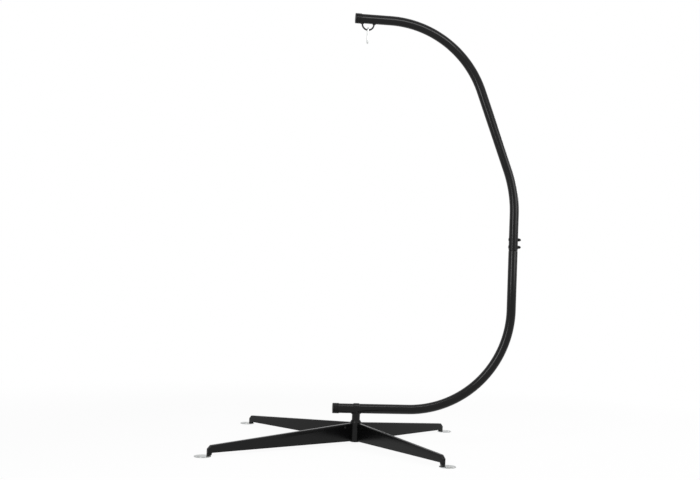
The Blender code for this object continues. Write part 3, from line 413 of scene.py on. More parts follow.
# %% Finishes on the carried-over solids
SAME_PLACE = 0.01 * MM            # what lies closer than this is in one place
NUT_EDGE, NUT_EDGE_STEPS = 0.35 * MM, 2
NUT_EDGE_ANGLE = math.radians(40)
slot_of = {part["node"]: part["material_slot"] for part in frame["record"]["subparts"]}
for name, solid in frame["nodes"].items():
    solid.data.materials.clear()
    solid.data.materials.append(SLOT_FINISH[slot_of[name]])
plain_nuts = [solid for name, solid in frame["nodes"].items() if "_nut_" in name and "cap" not in name]
for nut in plain_nuts:
    join = nut.modifiers.new("join", "WELD")
    join.merge_threshold = SAME_PLACE
    edge = nut.modifiers.new("edge", "BEVEL")
    edge.width = NUT_EDGE
    edge.segments = NUT_EDGE_STEPS
    edge.limit_method = "ANGLE"
    edge.angle_limit = NUT_EDGE_ANGLE
print(len(slot_of), "solids in", len(set(slot_of.values())), "slots;", len(plain_nuts), "nuts bevelled")

# %% [markdown]
# ## Shape helpers
#
# Four ways of making cover nearly every piece here. A turned piece is a profile swept round an axis. A
# bent rod or tube is a section swept along a path. A folded or stamped sheet is an outline given a
# thickness. And a cut is a Boolean. Corners of outlines and profiles are rounded with one function, as a
# press or a lathe tool would.

# %% Helpers for outlines
NEARLY_STRAIGHT = math.radians(8)
EDGE_SHARE = 0.45                 # how much of an edge the rounding of one of its corners may take


def whole_turn(steps):
    """Angles of a full circle, without the last one, which is the first again."""
    return [2 * math.pi * i / steps for i in range(steps)]


def arc(centre, radius, start, end, steps):
    """Points on an arc, in the plane of the two coordinates given."""
    angles = [start + (end - start) * i / steps for i in range(steps + 1)]
    return [(centre[0] + radius * math.cos(a), centre[1] + radius * math.sin(a)) for a in angles]


def eased(points, radius, closed=True, steps=4):
    """The same outline with its corners rounded, as far as the edges beside each corner allow."""
    count = len(points)
    made = []
    for i, point in enumerate(points):
        here = Vector(point)
        if not closed and i in (0, count - 1):
            made.append(tuple(here))
            continue
        before = Vector(points[i - 1]) - here
        after = Vector(points[(i + 1) % count]) - here
        size = radius[i] if isinstance(radius, (list, tuple)) else radius
        turn = math.pi - before.angle(after)
        if turn < NEARLY_STRAIGHT or size <= 0:
            made.append(tuple(here))
            continue
        trim = min(size * math.tan(turn / 2), EDGE_SHARE * before.length, EDGE_SHARE * after.length)
        size = trim / math.tan(turn / 2)
        start = here + before.normalized() * trim
        end = here + after.normalized() * trim
        inward = (before.normalized() + after.normalized()).normalized()
        middle = here + inward * (size / math.cos(turn / 2))
        first = start - middle
        last = end - middle
        for step in range(steps + 1):
            mixed = first.lerp(last, step / steps)
            made.append(tuple(middle + mixed.normalized() * size))
    return made


print("a square with its corners eased has", len(eased([(0, 0), (1, 0), (1, 1), (0, 1)], 0.1)), "points")

# %% Helpers that make a mesh
HAIR = 0.002 * MM                 # points closer than this become one
SHARP_ANGLE = 32


def new_object(name, data):
    """An object of the data, in the scene."""
    made = bpy.data.objects.new(name, data)
    scene.collection.objects.link(made)
    return made


def shaded(mesh, angle=SHARP_ANGLE):
    """The mesh, smooth apart from the edges that turn by more than the angle in degrees."""
    mesh.shade_smooth()
    mesh.set_sharp_from_angle(angle=math.radians(angle))
    return mesh


def applied(thing):
    """The object's mesh with its modifiers; the object and its old curve are removed."""
    bpy.context.view_layer.update()
    graph = bpy.context.evaluated_depsgraph_get()
    mesh = bpy.data.meshes.new_from_object(thing.evaluated_get(graph))
    old = thing.data
    bpy.data.objects.remove(thing, do_unlink=True)
    if isinstance(old, bpy.types.Curve):
        bpy.data.curves.remove(old)
    work = bmesh.new()
    work.from_mesh(mesh)
    bmesh.ops.remove_doubles(work, verts=work.verts, dist=HAIR)
    work.to_mesh(mesh)
    work.free()
    return mesh


def turned(profile, closed=True, steps=64):
    """Mesh turned round Z from a profile of (radius, height), down its outer side."""
    mesh = bpy.data.meshes.new("profile")
    edges = [(i, i + 1) for i in range(len(profile) - 1)] + ([(len(profile) - 1, 0)] if closed else [])
    mesh.from_pydata([(r, 0, z) for r, z in profile], edges, [])
    thing = new_object("profile", mesh)
    screw = thing.modifiers.new("turn", "SCREW")
    screw.steps = steps
    screw.render_steps = steps
    screw.use_merge_vertices = True
    screw.merge_threshold = HAIR
    made = applied(thing)
    work = bmesh.new()
    work.from_mesh(made)
    bmesh.ops.recalc_face_normals(work, faces=work.faces)
    work.to_mesh(made)
    work.free()
    return shaded(made)


def swept(points, radius, sides, factors=None, cyclic=False):
    """Mesh of a round rod along points; factors scale its radius at each point."""
    data = bpy.data.curves.new("path", "CURVE")
    data.dimensions = "3D"
    data.bevel_depth = radius
    data.bevel_resolution = sides // 2 - 2
    data.use_fill_caps = not cyclic
    spline = data.splines.new("POLY")
    spline.points.add(len(points) - 1)
    spline.use_cyclic_u = cyclic
    for i, point in enumerate(points):
        spline.points[i].co = (*point, 1.0)
        spline.points[i].radius = factors[i] if factors else 1.0
    return shaded(applied(new_object("path", data)))


def slab(outline, thickness):
    """Mesh of a flat outline of (x, z) with a thickness along Y, centred on Y = 0."""
    work = bmesh.new()
    corners = [work.verts.new((x, thickness / 2, z)) for x, z in outline]
    face = work.faces.new(corners)
    grown = bmesh.ops.extrude_face_region(work, geom=[face])["geom"]
    moved = [v for v in grown if isinstance(v, bmesh.types.BMVert)]
    bmesh.ops.translate(work, verts=moved, vec=(0, -thickness, 0))
    bmesh.ops.recalc_face_normals(work, faces=work.faces)
    return mesh_from(work, "slab")


def prism(radius, low, high, sides=64):
    """Mesh of a prism on Z between two heights; with many sides it is a cylinder."""
    work = bmesh.new()
    bmesh.ops.create_cone(work, cap_ends=True, segments=sides, radius1=radius, radius2=radius,
                          depth=high - low, matrix=Matrix.Translation((0, 0, (low + high) / 2)))
    return mesh_from(work, "prism")


def hex_prism(half_flats, low, high):
    """Mesh of a hexagonal prism on Z, by half its width across the flats."""
    return prism(half_flats / math.cos(math.pi / 6), low, high, 6)


def block(size, middle):
    """Mesh of a box of a size round a middle."""
    work = bmesh.new()
    bmesh.ops.create_cube(work, size=1.0, matrix=Matrix.Translation(middle) @ Matrix.Diagonal((*size, 1.0)))
    return mesh_from(work, "block")


print("points closer than", HAIR * 1000, "mm become one")

# %% Helpers that cut and place
def cut(mesh, tool, matrix=None, operation="DIFFERENCE"):
    """The mesh after a Boolean with a tool mesh, which is placed by the matrix first."""
    tool = tool.copy()
    tool.transform(matrix or Matrix.Identity(4))
    blank = new_object("blank", mesh)
    other = new_object("tool", tool)
    step = blank.modifiers.new("cut", "BOOLEAN")
    step.operation = operation
    step.solver = "EXACT"
    step.object = other
    made = applied(blank)
    bpy.data.objects.remove(other, do_unlink=True)
    return shaded(made)


def along_x(place=(0, 0, 0)):
    """Places a mesh that stands on Z so that it points along +X instead."""
    return Matrix.Translation(place) @ Matrix.Rotation(math.pi / 2, 4, "Y")


def against_x(place):
    """Places a mesh that stands on Z so that it points along -X instead."""
    return Matrix.Translation(place) @ Matrix.Rotation(-math.pi / 2, 4, "Y")


def piece(name, mesh, slot, body, *nodes, matrix=None, finish=None):
    """Shows a mesh as a piece that rides on a body, in its slot's finish unless it has its own, in place of
    the named solids."""
    mesh = mesh.copy()
    mesh.transform(matrix or Matrix.Identity(4))
    mesh.materials.clear()
    mesh.materials.append(finish or SLOT_FINISH[slot])
    made = new_object(name, mesh)
    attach(made, body)
    if nodes:
        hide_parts(*nodes)


# %% [markdown]
# ## The two tubes of the arm
#
# The C is cold-drawn round tube, 45 mm across with a 2 mm wall, rolled over a former: a big bend at the
# foot, a soft knee half-way, and a big bend at the top. It could be one curve with a bevel, but the real
# one is two tubes joined in the upright, and the joint shows as a fine dark ring. Each tube is its centre
# line with a round section swept along it in steps of 1.5 degrees, so that its long highlight runs without
# a kink.

# %% Helpers for the arm tubes
TUBE_R = 22.5 * MM
WALL = 2 * MM
GAP = 0.3 * MM                    # clearance between pieces that fit into one another
BEND_STEP, TUBE_SIDES = math.radians(1.5), 72


def route(start, heading, moves):
    """Centre line in the XZ plane; each move is (length, 0) for a run or (radius, angle) for a left bend."""
    points = [Vector(start)]
    for size, angle in moves:
        if not angle:
            points.append(points[-1] + size * Vector((math.cos(heading), math.sin(heading))))
            continue
        centre = points[-1] + size * Vector((-math.sin(heading), math.cos(heading)))
        first = heading - math.pi / 2
        bend = arc(centre, size, first, first + angle, round(angle / BEND_STEP))
        points += [Vector(p) for p in bend[1:]]
        heading += angle
    return [(p.x, 0.0, p.y) for p in points]


def tube(name, points, node, factors=None):
    """A hollow tube along a route, made ring by ring, outside and inside, and closed at its two ends."""
    work = bmesh.new()
    across = Vector((0, 1, 0))
    skins = []
    for inward in (0.0, WALL):
        rings = []
        for i, point in enumerate(points):
            ahead, behind = points[min(i + 1, len(points) - 1)], points[max(i - 1, 0)]
            way = (Vector(ahead) - Vector(behind)).normalized()
            side = Vector((way.z, 0, -way.x))
            size = TUBE_R * (factors[i] if factors else 1.0) - inward
            rings.append([work.verts.new(Vector(point) + size * (math.cos(a) * side + math.sin(a) * across))
                          for a in whole_turn(TUBE_SIDES)])
        skins.append(rings)
    outer, inner = skins
    bands = [pair for rings in skins for pair in zip(rings, rings[1:])]
    bands += [(outer[0], inner[0]), (outer[-1], inner[-1])]
    for one, other in bands:
        for k in range(TUBE_SIDES):
            after = (k + 1) % TUBE_SIDES
            work.faces.new((one[k], one[after], other[after], other[k]))
    bmesh.ops.recalc_face_normals(work, faces=work.faces)
    piece(name, shaded(mesh_from(work, name)), "powder_coat", "arm", node)


print("tube", round(2000 * TUBE_R), "mm across, wall", round(WALL * 1000), "mm")

# %% Arm tubes
ARM_TOP, ARM_BOTTOM = 2.029, 0.165
TOP_BEND, KNEE_BEND, BOTTOM_BEND = 0.490, 0.600, 0.490
TOP_BEND_START = 0.095
KNEE_OVER_SEAM = 0.176
TOP_TIP, BOTTOM_TIP = -0.0775, -0.113
SEAM = 0.944
CAP_END = 2.5 * MM                # thickness of a cap's face, behind which the tube ends
# Lengths at the lower tube's end: its rolled edge, the whole step with it, and the spigot
ROLLED, STEPPED, SPIGOT = 1.2 * MM, 4 * MM, 85 * MM
ROLLED_SHARE = 0.985              # what the rolled edge leaves of the radius

start = BOTTOM_TIP + CAP_END + GAP
level_run = ARM_REACH - BOTTOM_BEND - start
rise = SEAM - STEPPED - ARM_BOTTOM - BOTTOM_BEND
points = route((start, ARM_BOTTOM), 0.0, [(level_run, 0), (BOTTOM_BEND, math.pi / 2), (rise, 0), (ROLLED, 0),
                                          (STEPPED - ROLLED, 0), (SPIGOT, 0)])
spigot_share = (TUBE_R - WALL - GAP) / TUBE_R
shares = [1.0] * (len(points) - 3) + [ROLLED_SHARE, spigot_share, spigot_share]
tube("lower_arm_skin", points, "lower_arm_tube", shares)

# The leaning run is the straight line that touches both bends
across = ARM_REACH - TOP_BEND_START - KNEE_BEND
up = ARM_TOP - SEAM - GAP - KNEE_OVER_SEAM - TOP_BEND
lean = math.atan2(across, up) + math.asin((KNEE_BEND - TOP_BEND) / math.hypot(across, up))
leaning = across * math.sin(lean) + up * math.cos(lean)
points = route((ARM_REACH, SEAM + GAP), math.pi / 2,
               [(KNEE_OVER_SEAM, 0), (KNEE_BEND, lean), (leaning, 0), (TOP_BEND, math.pi / 2 - lean),
                (TOP_BEND_START - TOP_TIP - CAP_END - GAP, 0)])
tube("upper_arm_skin", points, "upper_arm_tube")
print("leaning run", round(leaning * 1000), "mm at", round(math.degrees(lean), 1), "degrees from upright")

# %% [markdown]
# ## Slip-over end caps
#
# Each end of the tube wears a moulded cap that slips over it and stands nearly 2 mm proud, with two fine
# rings round it and a slightly domed face inside a low rim. It is a plain turned piece. The rings are what
# one sees of it: two thin lines that break the tube's highlight.

# %% End caps
CAP_BORE = TUBE_R + GAP
CAP_R, CAP_SKIRT, CAP_EDGE = CAP_BORE + 1.5 * MM, 30 * MM, 2 * MM
RING_PLACES = (9.5 * MM, 20.5 * MM)              # behind the face
RING_DEEP, RING_HALF, RING_FLOOR = 0.6 * MM, 0.9 * MM, 0.35 * MM
LIP_IN, LIP_LONG = 0.6 * MM, 0.8 * MM            # the chamfer at the skirt's open end
face_dome = [(0, 0), (10 * MM, -0.15 * MM), (18 * MM, -0.6 * MM)]
profile = face_dome + arc((CAP_R - CAP_EDGE, -CAP_EDGE), CAP_EDGE, math.radians(75), 0, 6)
for behind in RING_PLACES:
    profile += [(CAP_R, RING_HALF - behind), (CAP_R - RING_DEEP, RING_FLOOR - behind),
                (CAP_R - RING_DEEP, -RING_FLOOR - behind), (CAP_R, -RING_HALF - behind)]
profile += [(CAP_R, LIP_LONG - CAP_SKIRT), (CAP_R - LIP_IN, -CAP_SKIRT), (CAP_BORE, -CAP_SKIRT),
            (CAP_BORE, -CAP_END), (0, -CAP_END)]
cap = turned(profile, closed=False, steps=72)
for name, tip, z in (("top", TOP_TIP, ARM_TOP), ("bottom", BOTTOM_TIP, ARM_BOTTOM)):
    piece(f"{name}_cap", cap, "black_plastic", "arm", f"{name}_end_cap", matrix=against_x((tip, 0, z)))
print("cap radius", round(CAP_R * 1000, 1), "mm")

# %% [markdown]
# ## The bolted joint
#
# Two bolts go through both tubes just above the seam. On the inside of the C they have low heads with a
# hexagon socket, and on the outside a curved plastic washer and a cap nut, which is what shows in the
# picture as two round knobs. A cap nut is a hexagon whose corners are turned away, with a dome over the
# bolt's end.

# %% Cap nut
BOLT_R = 4 * MM
FLATS = 13 * MM                   # width across the hexagon's flats
CORNER = FLATS / 2 / math.cos(math.pi / 6)
NUT_HIGH, DOME_R, CAP_NUT = 6.5 * MM, 6.25 * MM, 13 * MM
TOP_SHARE, SEAT_SHARE = 0.96, 1.02               # where turning the corners starts, as shares of the flats
TOP_DROP, SEAT_RISE = 0.9 * MM, 0.5 * MM         # how far it goes down and up the corners
DOME_FOOT_SHARE, DOME_SUNK = 0.97, 0.5 * MM
NUT_BORE_DEEP = 10 * MM
turned_corners = turned([(0, NUT_HIGH), (FLATS / 2 * TOP_SHARE, NUT_HIGH), (CORNER, NUT_HIGH - TOP_DROP),
                         (CORNER, SEAT_RISE), (FLATS / 2 * SEAT_SHARE, 0), (0, 0)], closed=False)
hexagon = hex_prism(FLATS / 2, 0, NUT_HIGH)
hexagon.transform(Matrix.Rotation(math.pi / 6, 4, "Z"))      # two corners point up and down on the tube
hexagon = cut(hexagon, turned_corners, operation="INTERSECT")
round_top = [(r, CAP_NUT - DOME_R + z) for r, z in arc((0, 0), DOME_R, math.pi / 2, 0, 10)]
dome_foot = [(DOME_R * DOME_FOOT_SHARE, NUT_HIGH), (DOME_R, NUT_HIGH - DOME_SUNK), (0, 1 * MM)]
dome = turned([(0, CAP_NUT)] + round_top[1:] + dome_foot, closed=False)
cap_nut = cut(hexagon, dome, operation="UNION")
cap_nut = cut(cap_nut, prism(BOLT_R + GAP, -1 * MM, NUT_BORE_DEEP, 32))
print("cap nut", round(FLATS * 1000), "mm across its flats")

# %% Curved washer and low-head bolt
WASHER_R, WASHER_THICK = 8.5 * MM, 2 * MM
THREAD = 8 * MM                   # how far the bolt goes into its cap nut
LOW_HEAD_R, LOW_HEAD_HIGH, LOW_HEAD_EASE = 8 * MM, 1.5 * MM, 0.6 * MM
SOCKET_HALF, SOCKET_FLOOR, SOCKET_TOP = 2.5 * MM, 0.4 * MM, 4 * MM
seat = TUBE_R + GAP
washer_face = seat + WASHER_THICK
washer = prism(WASHER_R, 0, washer_face)
washer = cut(washer, prism(seat, -TUBE_R * 2, TUBE_R * 2, 96), along_x())
washer = cut(washer, prism(BOLT_R + GAP, -washer_face, 2 * washer_face, 32))
low_head = eased([(0, LOW_HEAD_HIGH), (5.6 * MM, 1.3 * MM), (LOW_HEAD_R, 0.6 * MM), (LOW_HEAD_R, 0),
                  (BOLT_R, 0)], LOW_HEAD_EASE, closed=False)
bolt_end = -(seat + washer_face + THREAD)
bolt = turned(low_head + [(BOLT_R, bolt_end), (0, bolt_end)], closed=False, steps=48)
bolt = cut(bolt, hex_prism(SOCKET_HALF, SOCKET_FLOOR, SOCKET_TOP))
print("bolt", round(-bolt_end * 1000, 1), "mm under its head")

# %% The joint's pieces
BOLT_PLACES = {"lower": 17 * MM, "upper": 53 * MM}           # above the seam
for name, above in BOLT_PLACES.items():
    z = SEAM + above
    piece(f"curved_washer_{name}", washer, "black_plastic", "arm", f"joint_saddle_washer_{name}",
          matrix=along_x((ARM_REACH, 0, z)))
    piece(f"cap_nut_{name}", cap_nut, "powder_coat", "arm", f"joint_cap_nut_{name}",
          matrix=along_x((ARM_REACH + washer_face + GAP, 0, z)))
    piece(f"low_head_bolt_{name}", bolt, "powder_coat", "arm", f"joint_bolt_{name}",
          matrix=against_x((ARM_REACH - seat, 0, z)))
print("cap nuts stand", round((washer_face + GAP + CAP_NUT - TUBE_R) * 1000, 1), "mm proud of the tube")

# %% [markdown]
# ## The hanging eye and its welds
#
# The eye is an 8 mm rod bent to a half ring, with both ends welded under the top run. A hand-laid fillet
# weld is a row of small overlapping ripples, so the bead is a rod whose radius swells and shrinks every
# couple of millimetres. Under the paint it reads as a soft dark lump at each foot of the ring.

# %% Hanging eye
EYE_X = -14.5 * MM
EYE_ROD, EYE_MID, EYE_LEG = 4 * MM, 28 * MM, 2.5 * MM        # radii of rod and ring, length of its ends
EYE_CENTRE = ARM_TOP - TUBE_R - GAP - EYE_LEG
ring_top = EYE_CENTRE + EYE_LEG
ring = arc((EYE_X, EYE_CENTRE), EYE_MID, math.pi, 2 * math.pi, 48)
ring = [(EYE_X - EYE_MID, ring_top)] + ring + [(EYE_X + EYE_MID, ring_top)]
piece("eye_ring", swept([(x, 0, z) for x, z in ring], EYE_ROD, 32), "powder_coat", "arm", "hanging_eye")
print("eye hangs to z =", round(EYE_CENTRE - EYE_MID - EYE_ROD, 4))

# %% Welds of the eye
RIPPLE = 2.0 * MM                 # spacing of the ripples in a weld
SLOW_DRIFT, QUICK_DRIFT = 7.3 * MM, 3.1 * MM                 # how the welder's hand wanders along it
BEAD_SIDES = 16
EYE_WELD_R, EYE_WELD_SUNK, EYE_WELD_STEPS = 2.7 * MM, 0.6 * MM, 96
EYE_WELD_OUT, EYE_WELD_IN, EYE_WELD_SIDE = 6.4 * MM, 4.8 * MM, 5.0 * MM      # its reach from the rod's axis


def bead(name, loop, radius, swell=0.10):
    """A weld bead on the arm round a loop whose points are close enough together to draw its ripples."""
    run = 0.0
    factors = []
    for i, point in enumerate(loop):
        if i:
            run += (Vector(point) - Vector(loop[i - 1])).length
        ripple = swell * math.sin(2 * math.pi * run / RIPPLE)
        drift = 0.06 * math.sin(run / SLOW_DRIFT) + 0.04 * math.sin(run / QUICK_DRIFT + 1.0)
        factors.append(1 + ripple + drift)
    piece(name, swept(loop, radius, BEAD_SIDES, factors, cyclic=True), "powder_coat", "arm")


for name, x in (("left", EYE_X - EYE_MID), ("right", EYE_X + EYE_MID)):
    loop = []
    for a in whole_turn(EYE_WELD_STEPS):
        reach = EYE_WELD_OUT if math.cos(a) * (x - EYE_X) > 0 else EYE_WELD_IN
        px, py = x + reach * math.cos(a), EYE_WELD_SIDE * math.sin(a)
        loop.append((px, py, ARM_TOP - math.sqrt(TUBE_R ** 2 - py ** 2) - EYE_WELD_SUNK))
    bead(f"eye_weld_{name}", loop, EYE_WELD_R)
print("ripples every", RIPPLE * 1000, "mm")

# %% [markdown]
# ## The snap hook
#
# The hook is a bought part: an 8 mm rod bent to a pear shape, open on one side, where a sprung gate closes
# it. The body's end is milled down to a tongue, and the gate's forked end straddles it on a rivet. The
# body is one swept rod with the two cheeks of the tongue cut away. The gate is a shorter rod with a
# ball-shaped end, a slot and a bore for its spring.

# %% Places on the hook
HOOK_LONG = 80 * MM
HOOK_R, TOP_ARC, LOW_ARC = 4 * MM, 8.5 * MM, 14 * MM         # radii of the rod and of its two arcs
GATE_R, PIVOT_DOWN, NOSE_UP, PIN_R = 3.8 * MM, 5 * MM, 2 * MM, 1.3 * MM
EYE_LOW = EYE_CENTRE - EYE_MID
DROP = HOOK_LONG - TOP_ARC - LOW_ARC - 2 * HOOK_R
SPREAD = math.asin((LOW_ARC - TOP_ARC) / DROP)
SIDE = DROP * math.cos(SPREAD)
out = Vector((0, math.cos(SPREAD), math.sin(SPREAD)))
down = Vector((0, math.sin(SPREAD), -math.cos(SPREAD)))
crown = Vector((0, 0, EYE_ROD + GAP + HOOK_R - TOP_ARC))
hinge = crown + TOP_ARC * out + PIVOT_DOWN * down
bowl = crown - Vector((0, 0, DROP))
nose = bowl + LOW_ARC * out - NOSE_UP * down
at_hook = Matrix.Translation((EYE_X, 0, EYE_LOW))
at_gate = Matrix.Translation(hinge) @ Matrix.Rotation(SPREAD, 4, "X")
print("hook", round(HOOK_LONG * 1000), "mm long, each side leans", round(math.degrees(SPREAD), 1), "degrees")

# %% Hook body
TONGUE = 2.6 * MM                 # how far the tongue goes past the rivet
TIP_EDGE, TIP_SHARE = 0.6 * MM, 0.9              # the broken edge at the nose
SLOT = 3.6 * MM
CHEEK_THICK, CHEEK_WIDE = 8 * MM, 16 * MM        # of the cutters, both more than the rod
over = arc((crown.y, crown.z), TOP_ARC, SPREAD, math.pi - SPREAD, 28)
under = arc((bowl.y, bowl.z), LOW_ARC, math.pi - SPREAD, 2 * math.pi + SPREAD, 36)
path = [hinge + TONGUE * down] + [Vector((0, y, z)) for y, z in over + under] + [nose + TIP_EDGE * down, nose]
hook = swept(path, HOOK_R, 32, [1.0] * (len(path) - 1) + [TIP_SHARE])
shoulder = GATE_R + 2 * GAP
cheek_long = shoulder + PIVOT_DOWN
for side in (-1, 1):
    cheek = block((CHEEK_THICK, CHEEK_WIDE, cheek_long),
                  (side * (SLOT / 2 - GAP + CHEEK_THICK / 2), 0, shoulder - cheek_long / 2))
    hook = cut(hook, cheek, at_gate)
rivet_hole = prism(PIN_R + GAP, -HOOK_R * 2, HOOK_R * 2, 24)
hook = cut(hook, rivet_hole, at_gate @ along_x())
piece("hook_body", hook, "zinc_plate", "snap_hook", "snap_hook_body", matrix=at_hook, finish=bright_zinc)
print("tongue", round((SLOT - 2 * GAP) * 1000, 1), "mm thick")

# %% Hook gate
SLOT_DEEP, SPRING_BORE, SPRING_LONG = 5.2 * MM, 2.1 * MM, 11 * MM
GATE_EDGE = 0.5 * MM              # clearance at the nose, and the broken edge of the gate's end
BORE_OVERLAP = 0.6 * MM
length = SIDE - PIVOT_DOWN - NOSE_UP - GATE_EDGE
ball = [math.radians(a) for a in range(84, -1, -12)]
line = [(0, 0, GATE_R * math.sin(a)) for a in ball] + [(0, 0, GATE_EDGE - length), (0, 0, -length)]
gate = swept(line, GATE_R, 32, [math.cos(a) for a in ball] + [1.0, TIP_SHARE])
gate = cut(gate, block((SLOT, CHEEK_WIDE, SLOT_DEEP + 2 * GATE_R), (0, 0, (2 * GATE_R - SLOT_DEEP) / 2)))
gate = cut(gate, rivet_hole, along_x())
gate = cut(gate, prism(SPRING_BORE, -SLOT_DEEP - SPRING_LONG, -SLOT_DEEP + BORE_OVERLAP, 32))
piece("hook_gate_rod", gate, "zinc_plate", "hook_gate", "snap_hook_gate", matrix=at_hook @ at_gate,
      finish=bright_zinc)
print("gate", round(length * 1000, 1), "mm from its rivet to its end")

# %% Rivet and spring
RIVET_SPREAD, RIVET_EASE = 1.25, 0.2 * MM        # how much wider its peened ends are, and their rounding
COIL_R, WIRE_R, COIL_TURNS, COIL_STEPS = 1.4 * MM, 0.3 * MM, 5, 24
rivet = eased([(0, 4.3 * MM), (PIN_R * RIVET_SPREAD, 4.0 * MM), (PIN_R, 3.8 * MM)], RIVET_EASE, closed=False)
rivet = turned(rivet + [(r, -z) for r, z in reversed(rivet)], closed=False, steps=32)
piece("gate_rivet", rivet, "zinc_plate", "snap_hook", "gate_pin", matrix=at_hook @ at_gate @ along_x())

coil = []
coil_low = WIRE_R + GAP - SLOT_DEEP - SPRING_LONG
for i in range(COIL_TURNS * COIL_STEPS + 1):
    a = 2 * math.pi * i / COIL_STEPS
    climb = (SPRING_LONG - 2 * WIRE_R - 2 * GAP) * i / (COIL_TURNS * COIL_STEPS)
    coil.append((COIL_R * math.cos(a), COIL_R * math.sin(a), coil_low + climb))
piece("gate_coil_spring", swept(coil, WIRE_R, 12), "spring_steel", "hook_gate", "gate_spring",
      matrix=at_hook @ at_gate)
print("spring of", COIL_TURNS, "turns in a bore", round(SPRING_LONG * 1000), "mm deep")

# %% [markdown]
# ## Neck, strap and their welds
#
# The arm stands on a short post that goes down into the hub. Its top is cut to the round of the tube, and
# a band round the tube ties the two together. The post and band are welded on all sides, and the fillet at
# the post's top is thick enough to round the corner between post and tube in the picture.

# %% Neck post and strap
NECK_R, NECK_WALL = 19 * MM, 3 * MM
STRAP_BORE = TUBE_R + GAP
STRAP_HALF, STRAP_R, STRAP_EASE = 12.5 * MM, STRAP_BORE + 2.4 * MM, 0.8 * MM
SADDLE_HALF = 60 * MM             # half the length of the cutter, more than the post is wide
POST_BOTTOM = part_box("neck_post")[0].z
at_arm = along_x((0, 0, ARM_BOTTOM))
post = turned([(NECK_R, ARM_BOTTOM), (NECK_R, POST_BOTTOM), (NECK_R - NECK_WALL, POST_BOTTOM),
               (NECK_R - NECK_WALL, ARM_BOTTOM)], steps=72)
post = cut(post, prism(STRAP_BORE, -SADDLE_HALF, SADDLE_HALF, 96), at_arm)
post = cut(post, prism(STRAP_R + GAP, -STRAP_HALF - GAP, STRAP_HALF + GAP, 96), at_arm)
piece("neck_post_skin", post, "powder_coat", "arm", "neck_post")
band = eased([(STRAP_R, STRAP_HALF), (STRAP_R, -STRAP_HALF), (STRAP_BORE, -STRAP_HALF),
              (STRAP_BORE, STRAP_HALF)], [STRAP_EASE, STRAP_EASE, 0, 0])
piece("strap_band", turned(band, steps=96), "powder_coat", "arm", "saddle_strap", matrix=at_arm)
print("post bottom at", round(POST_BOTTOM, 4))

# %% Welds of the strap and the neck
STRAP_WELD_R, STRAP_WELD_UP, STRAP_WELD_OUT, STRAP_WELD_STEPS = 1.3 * MM, 0.7 * MM, 0.4 * MM, 280
NECK_WELD_R, NECK_WELD_OUT, NECK_WELD_SWELL, NECK_WELD_STEPS = 3.0 * MM, 0.8 * MM, 0.06, 240
CLIMB_START, CLIMB_LENGTH = 2 * MM, 4 * MM       # where the neck's weld climbs off the strap
for name, x in (("left", -STRAP_HALF - STRAP_WELD_OUT), ("right", STRAP_HALF + STRAP_WELD_OUT)):
    round_tube = arc((0, 0), TUBE_R + STRAP_WELD_UP, 0, 2 * math.pi, STRAP_WELD_STEPS)[:-1]
    bead(f"strap_weld_{name}", [(x, y, ARM_BOTTOM + z) for y, z in round_tube], STRAP_WELD_R)
saddle = []
for a in whole_turn(NECK_WELD_STEPS):
    x, y = (NECK_R + NECK_WELD_OUT) * math.cos(a), (NECK_R + NECK_WELD_OUT) * math.sin(a)
    strap_share = min(1.0, max(0.0, (STRAP_HALF + CLIMB_START - abs(x)) / CLIMB_LENGTH))
    under_r = TUBE_R + (STRAP_R - TUBE_R) * strap_share
    saddle.append((x, y, ARM_BOTTOM - math.sqrt(under_r ** 2 - y ** 2) - NECK_WELD_OUT))
bead("neck_weld", saddle, NECK_WELD_R, NECK_WELD_SWELL)
print("neck weld down to z =", round(min(z for _, _, z in saddle), 4))

# %% [markdown]
# ## The hub
#
# The hub is a stub of heavier tube, 54 mm across, with a moulded collar on top that centres the post and a
# plug below. All three are turned pieces; their edges are broken by a few tenths of a millimetre.

# %% Hub tube, collar and plug
HUB_R, HUB_BORE, HUB_EASE = 27 * MM, 24 * MM, 0.6 * MM       # outer and inner radius, broken edge
HUB_LOW, HUB_TOP = 12.5 * MM, 99 * MM
COLLAR_LIP, COLLAR_HIGH, COLLAR_EDGE, COLLAR_DEEP = 1.7 * MM, 12 * MM, 1 * MM, 30 * MM
COLLAR_EASE = [0.7 * MM, 0.5 * MM, 0.3 * MM, 0, 0, 0, 0.4 * MM]
PLUG_WALL, PLUG_DEEP, PLUG_THICK, PLUG_EASE = 3 * MM, 5 * MM, 2.2 * MM, 0.5 * MM
PLUG_FLANGE, PLUG_FACE = 26 * MM, 24.5 * MM
hub = eased([(HUB_R, HUB_TOP), (HUB_R, HUB_LOW), (HUB_BORE, HUB_LOW), (HUB_BORE, HUB_TOP)], HUB_EASE)
piece("hub_skin", turned(hub, steps=96), "powder_coat", "base", "hub_tube")
collar_foot = HUB_TOP + GAP
bearing = NECK_R + GAP
inside = HUB_BORE - GAP
collar = [(bearing + COLLAR_LIP, collar_foot + COLLAR_HIGH), (HUB_R, collar_foot + COLLAR_EDGE),
          (HUB_R, collar_foot), (inside, collar_foot), (inside, HUB_TOP - COLLAR_DEEP),
          (bearing, HUB_TOP - COLLAR_DEEP), (bearing, collar_foot + COLLAR_HIGH)]
piece("collar", turned(eased(collar, COLLAR_EASE), steps=96), "black_plastic", "base", "collar_bush")
under_hub = HUB_LOW - GAP
plug = [(0, under_hub), (inside - PLUG_WALL, under_hub), (inside - PLUG_WALL, under_hub + PLUG_DEEP),
        (inside, under_hub + PLUG_DEEP), (inside, under_hub), (PLUG_FLANGE, under_hub),
        (PLUG_FACE, under_hub - PLUG_THICK), (0, under_hub - PLUG_THICK)]
plug = turned(eased(plug, PLUG_EASE, closed=False), closed=False, steps=72)
piece("plug", plug, "black_plastic", "base", "hub_plug")
print("hub", round(2000 * HUB_R), "mm across")

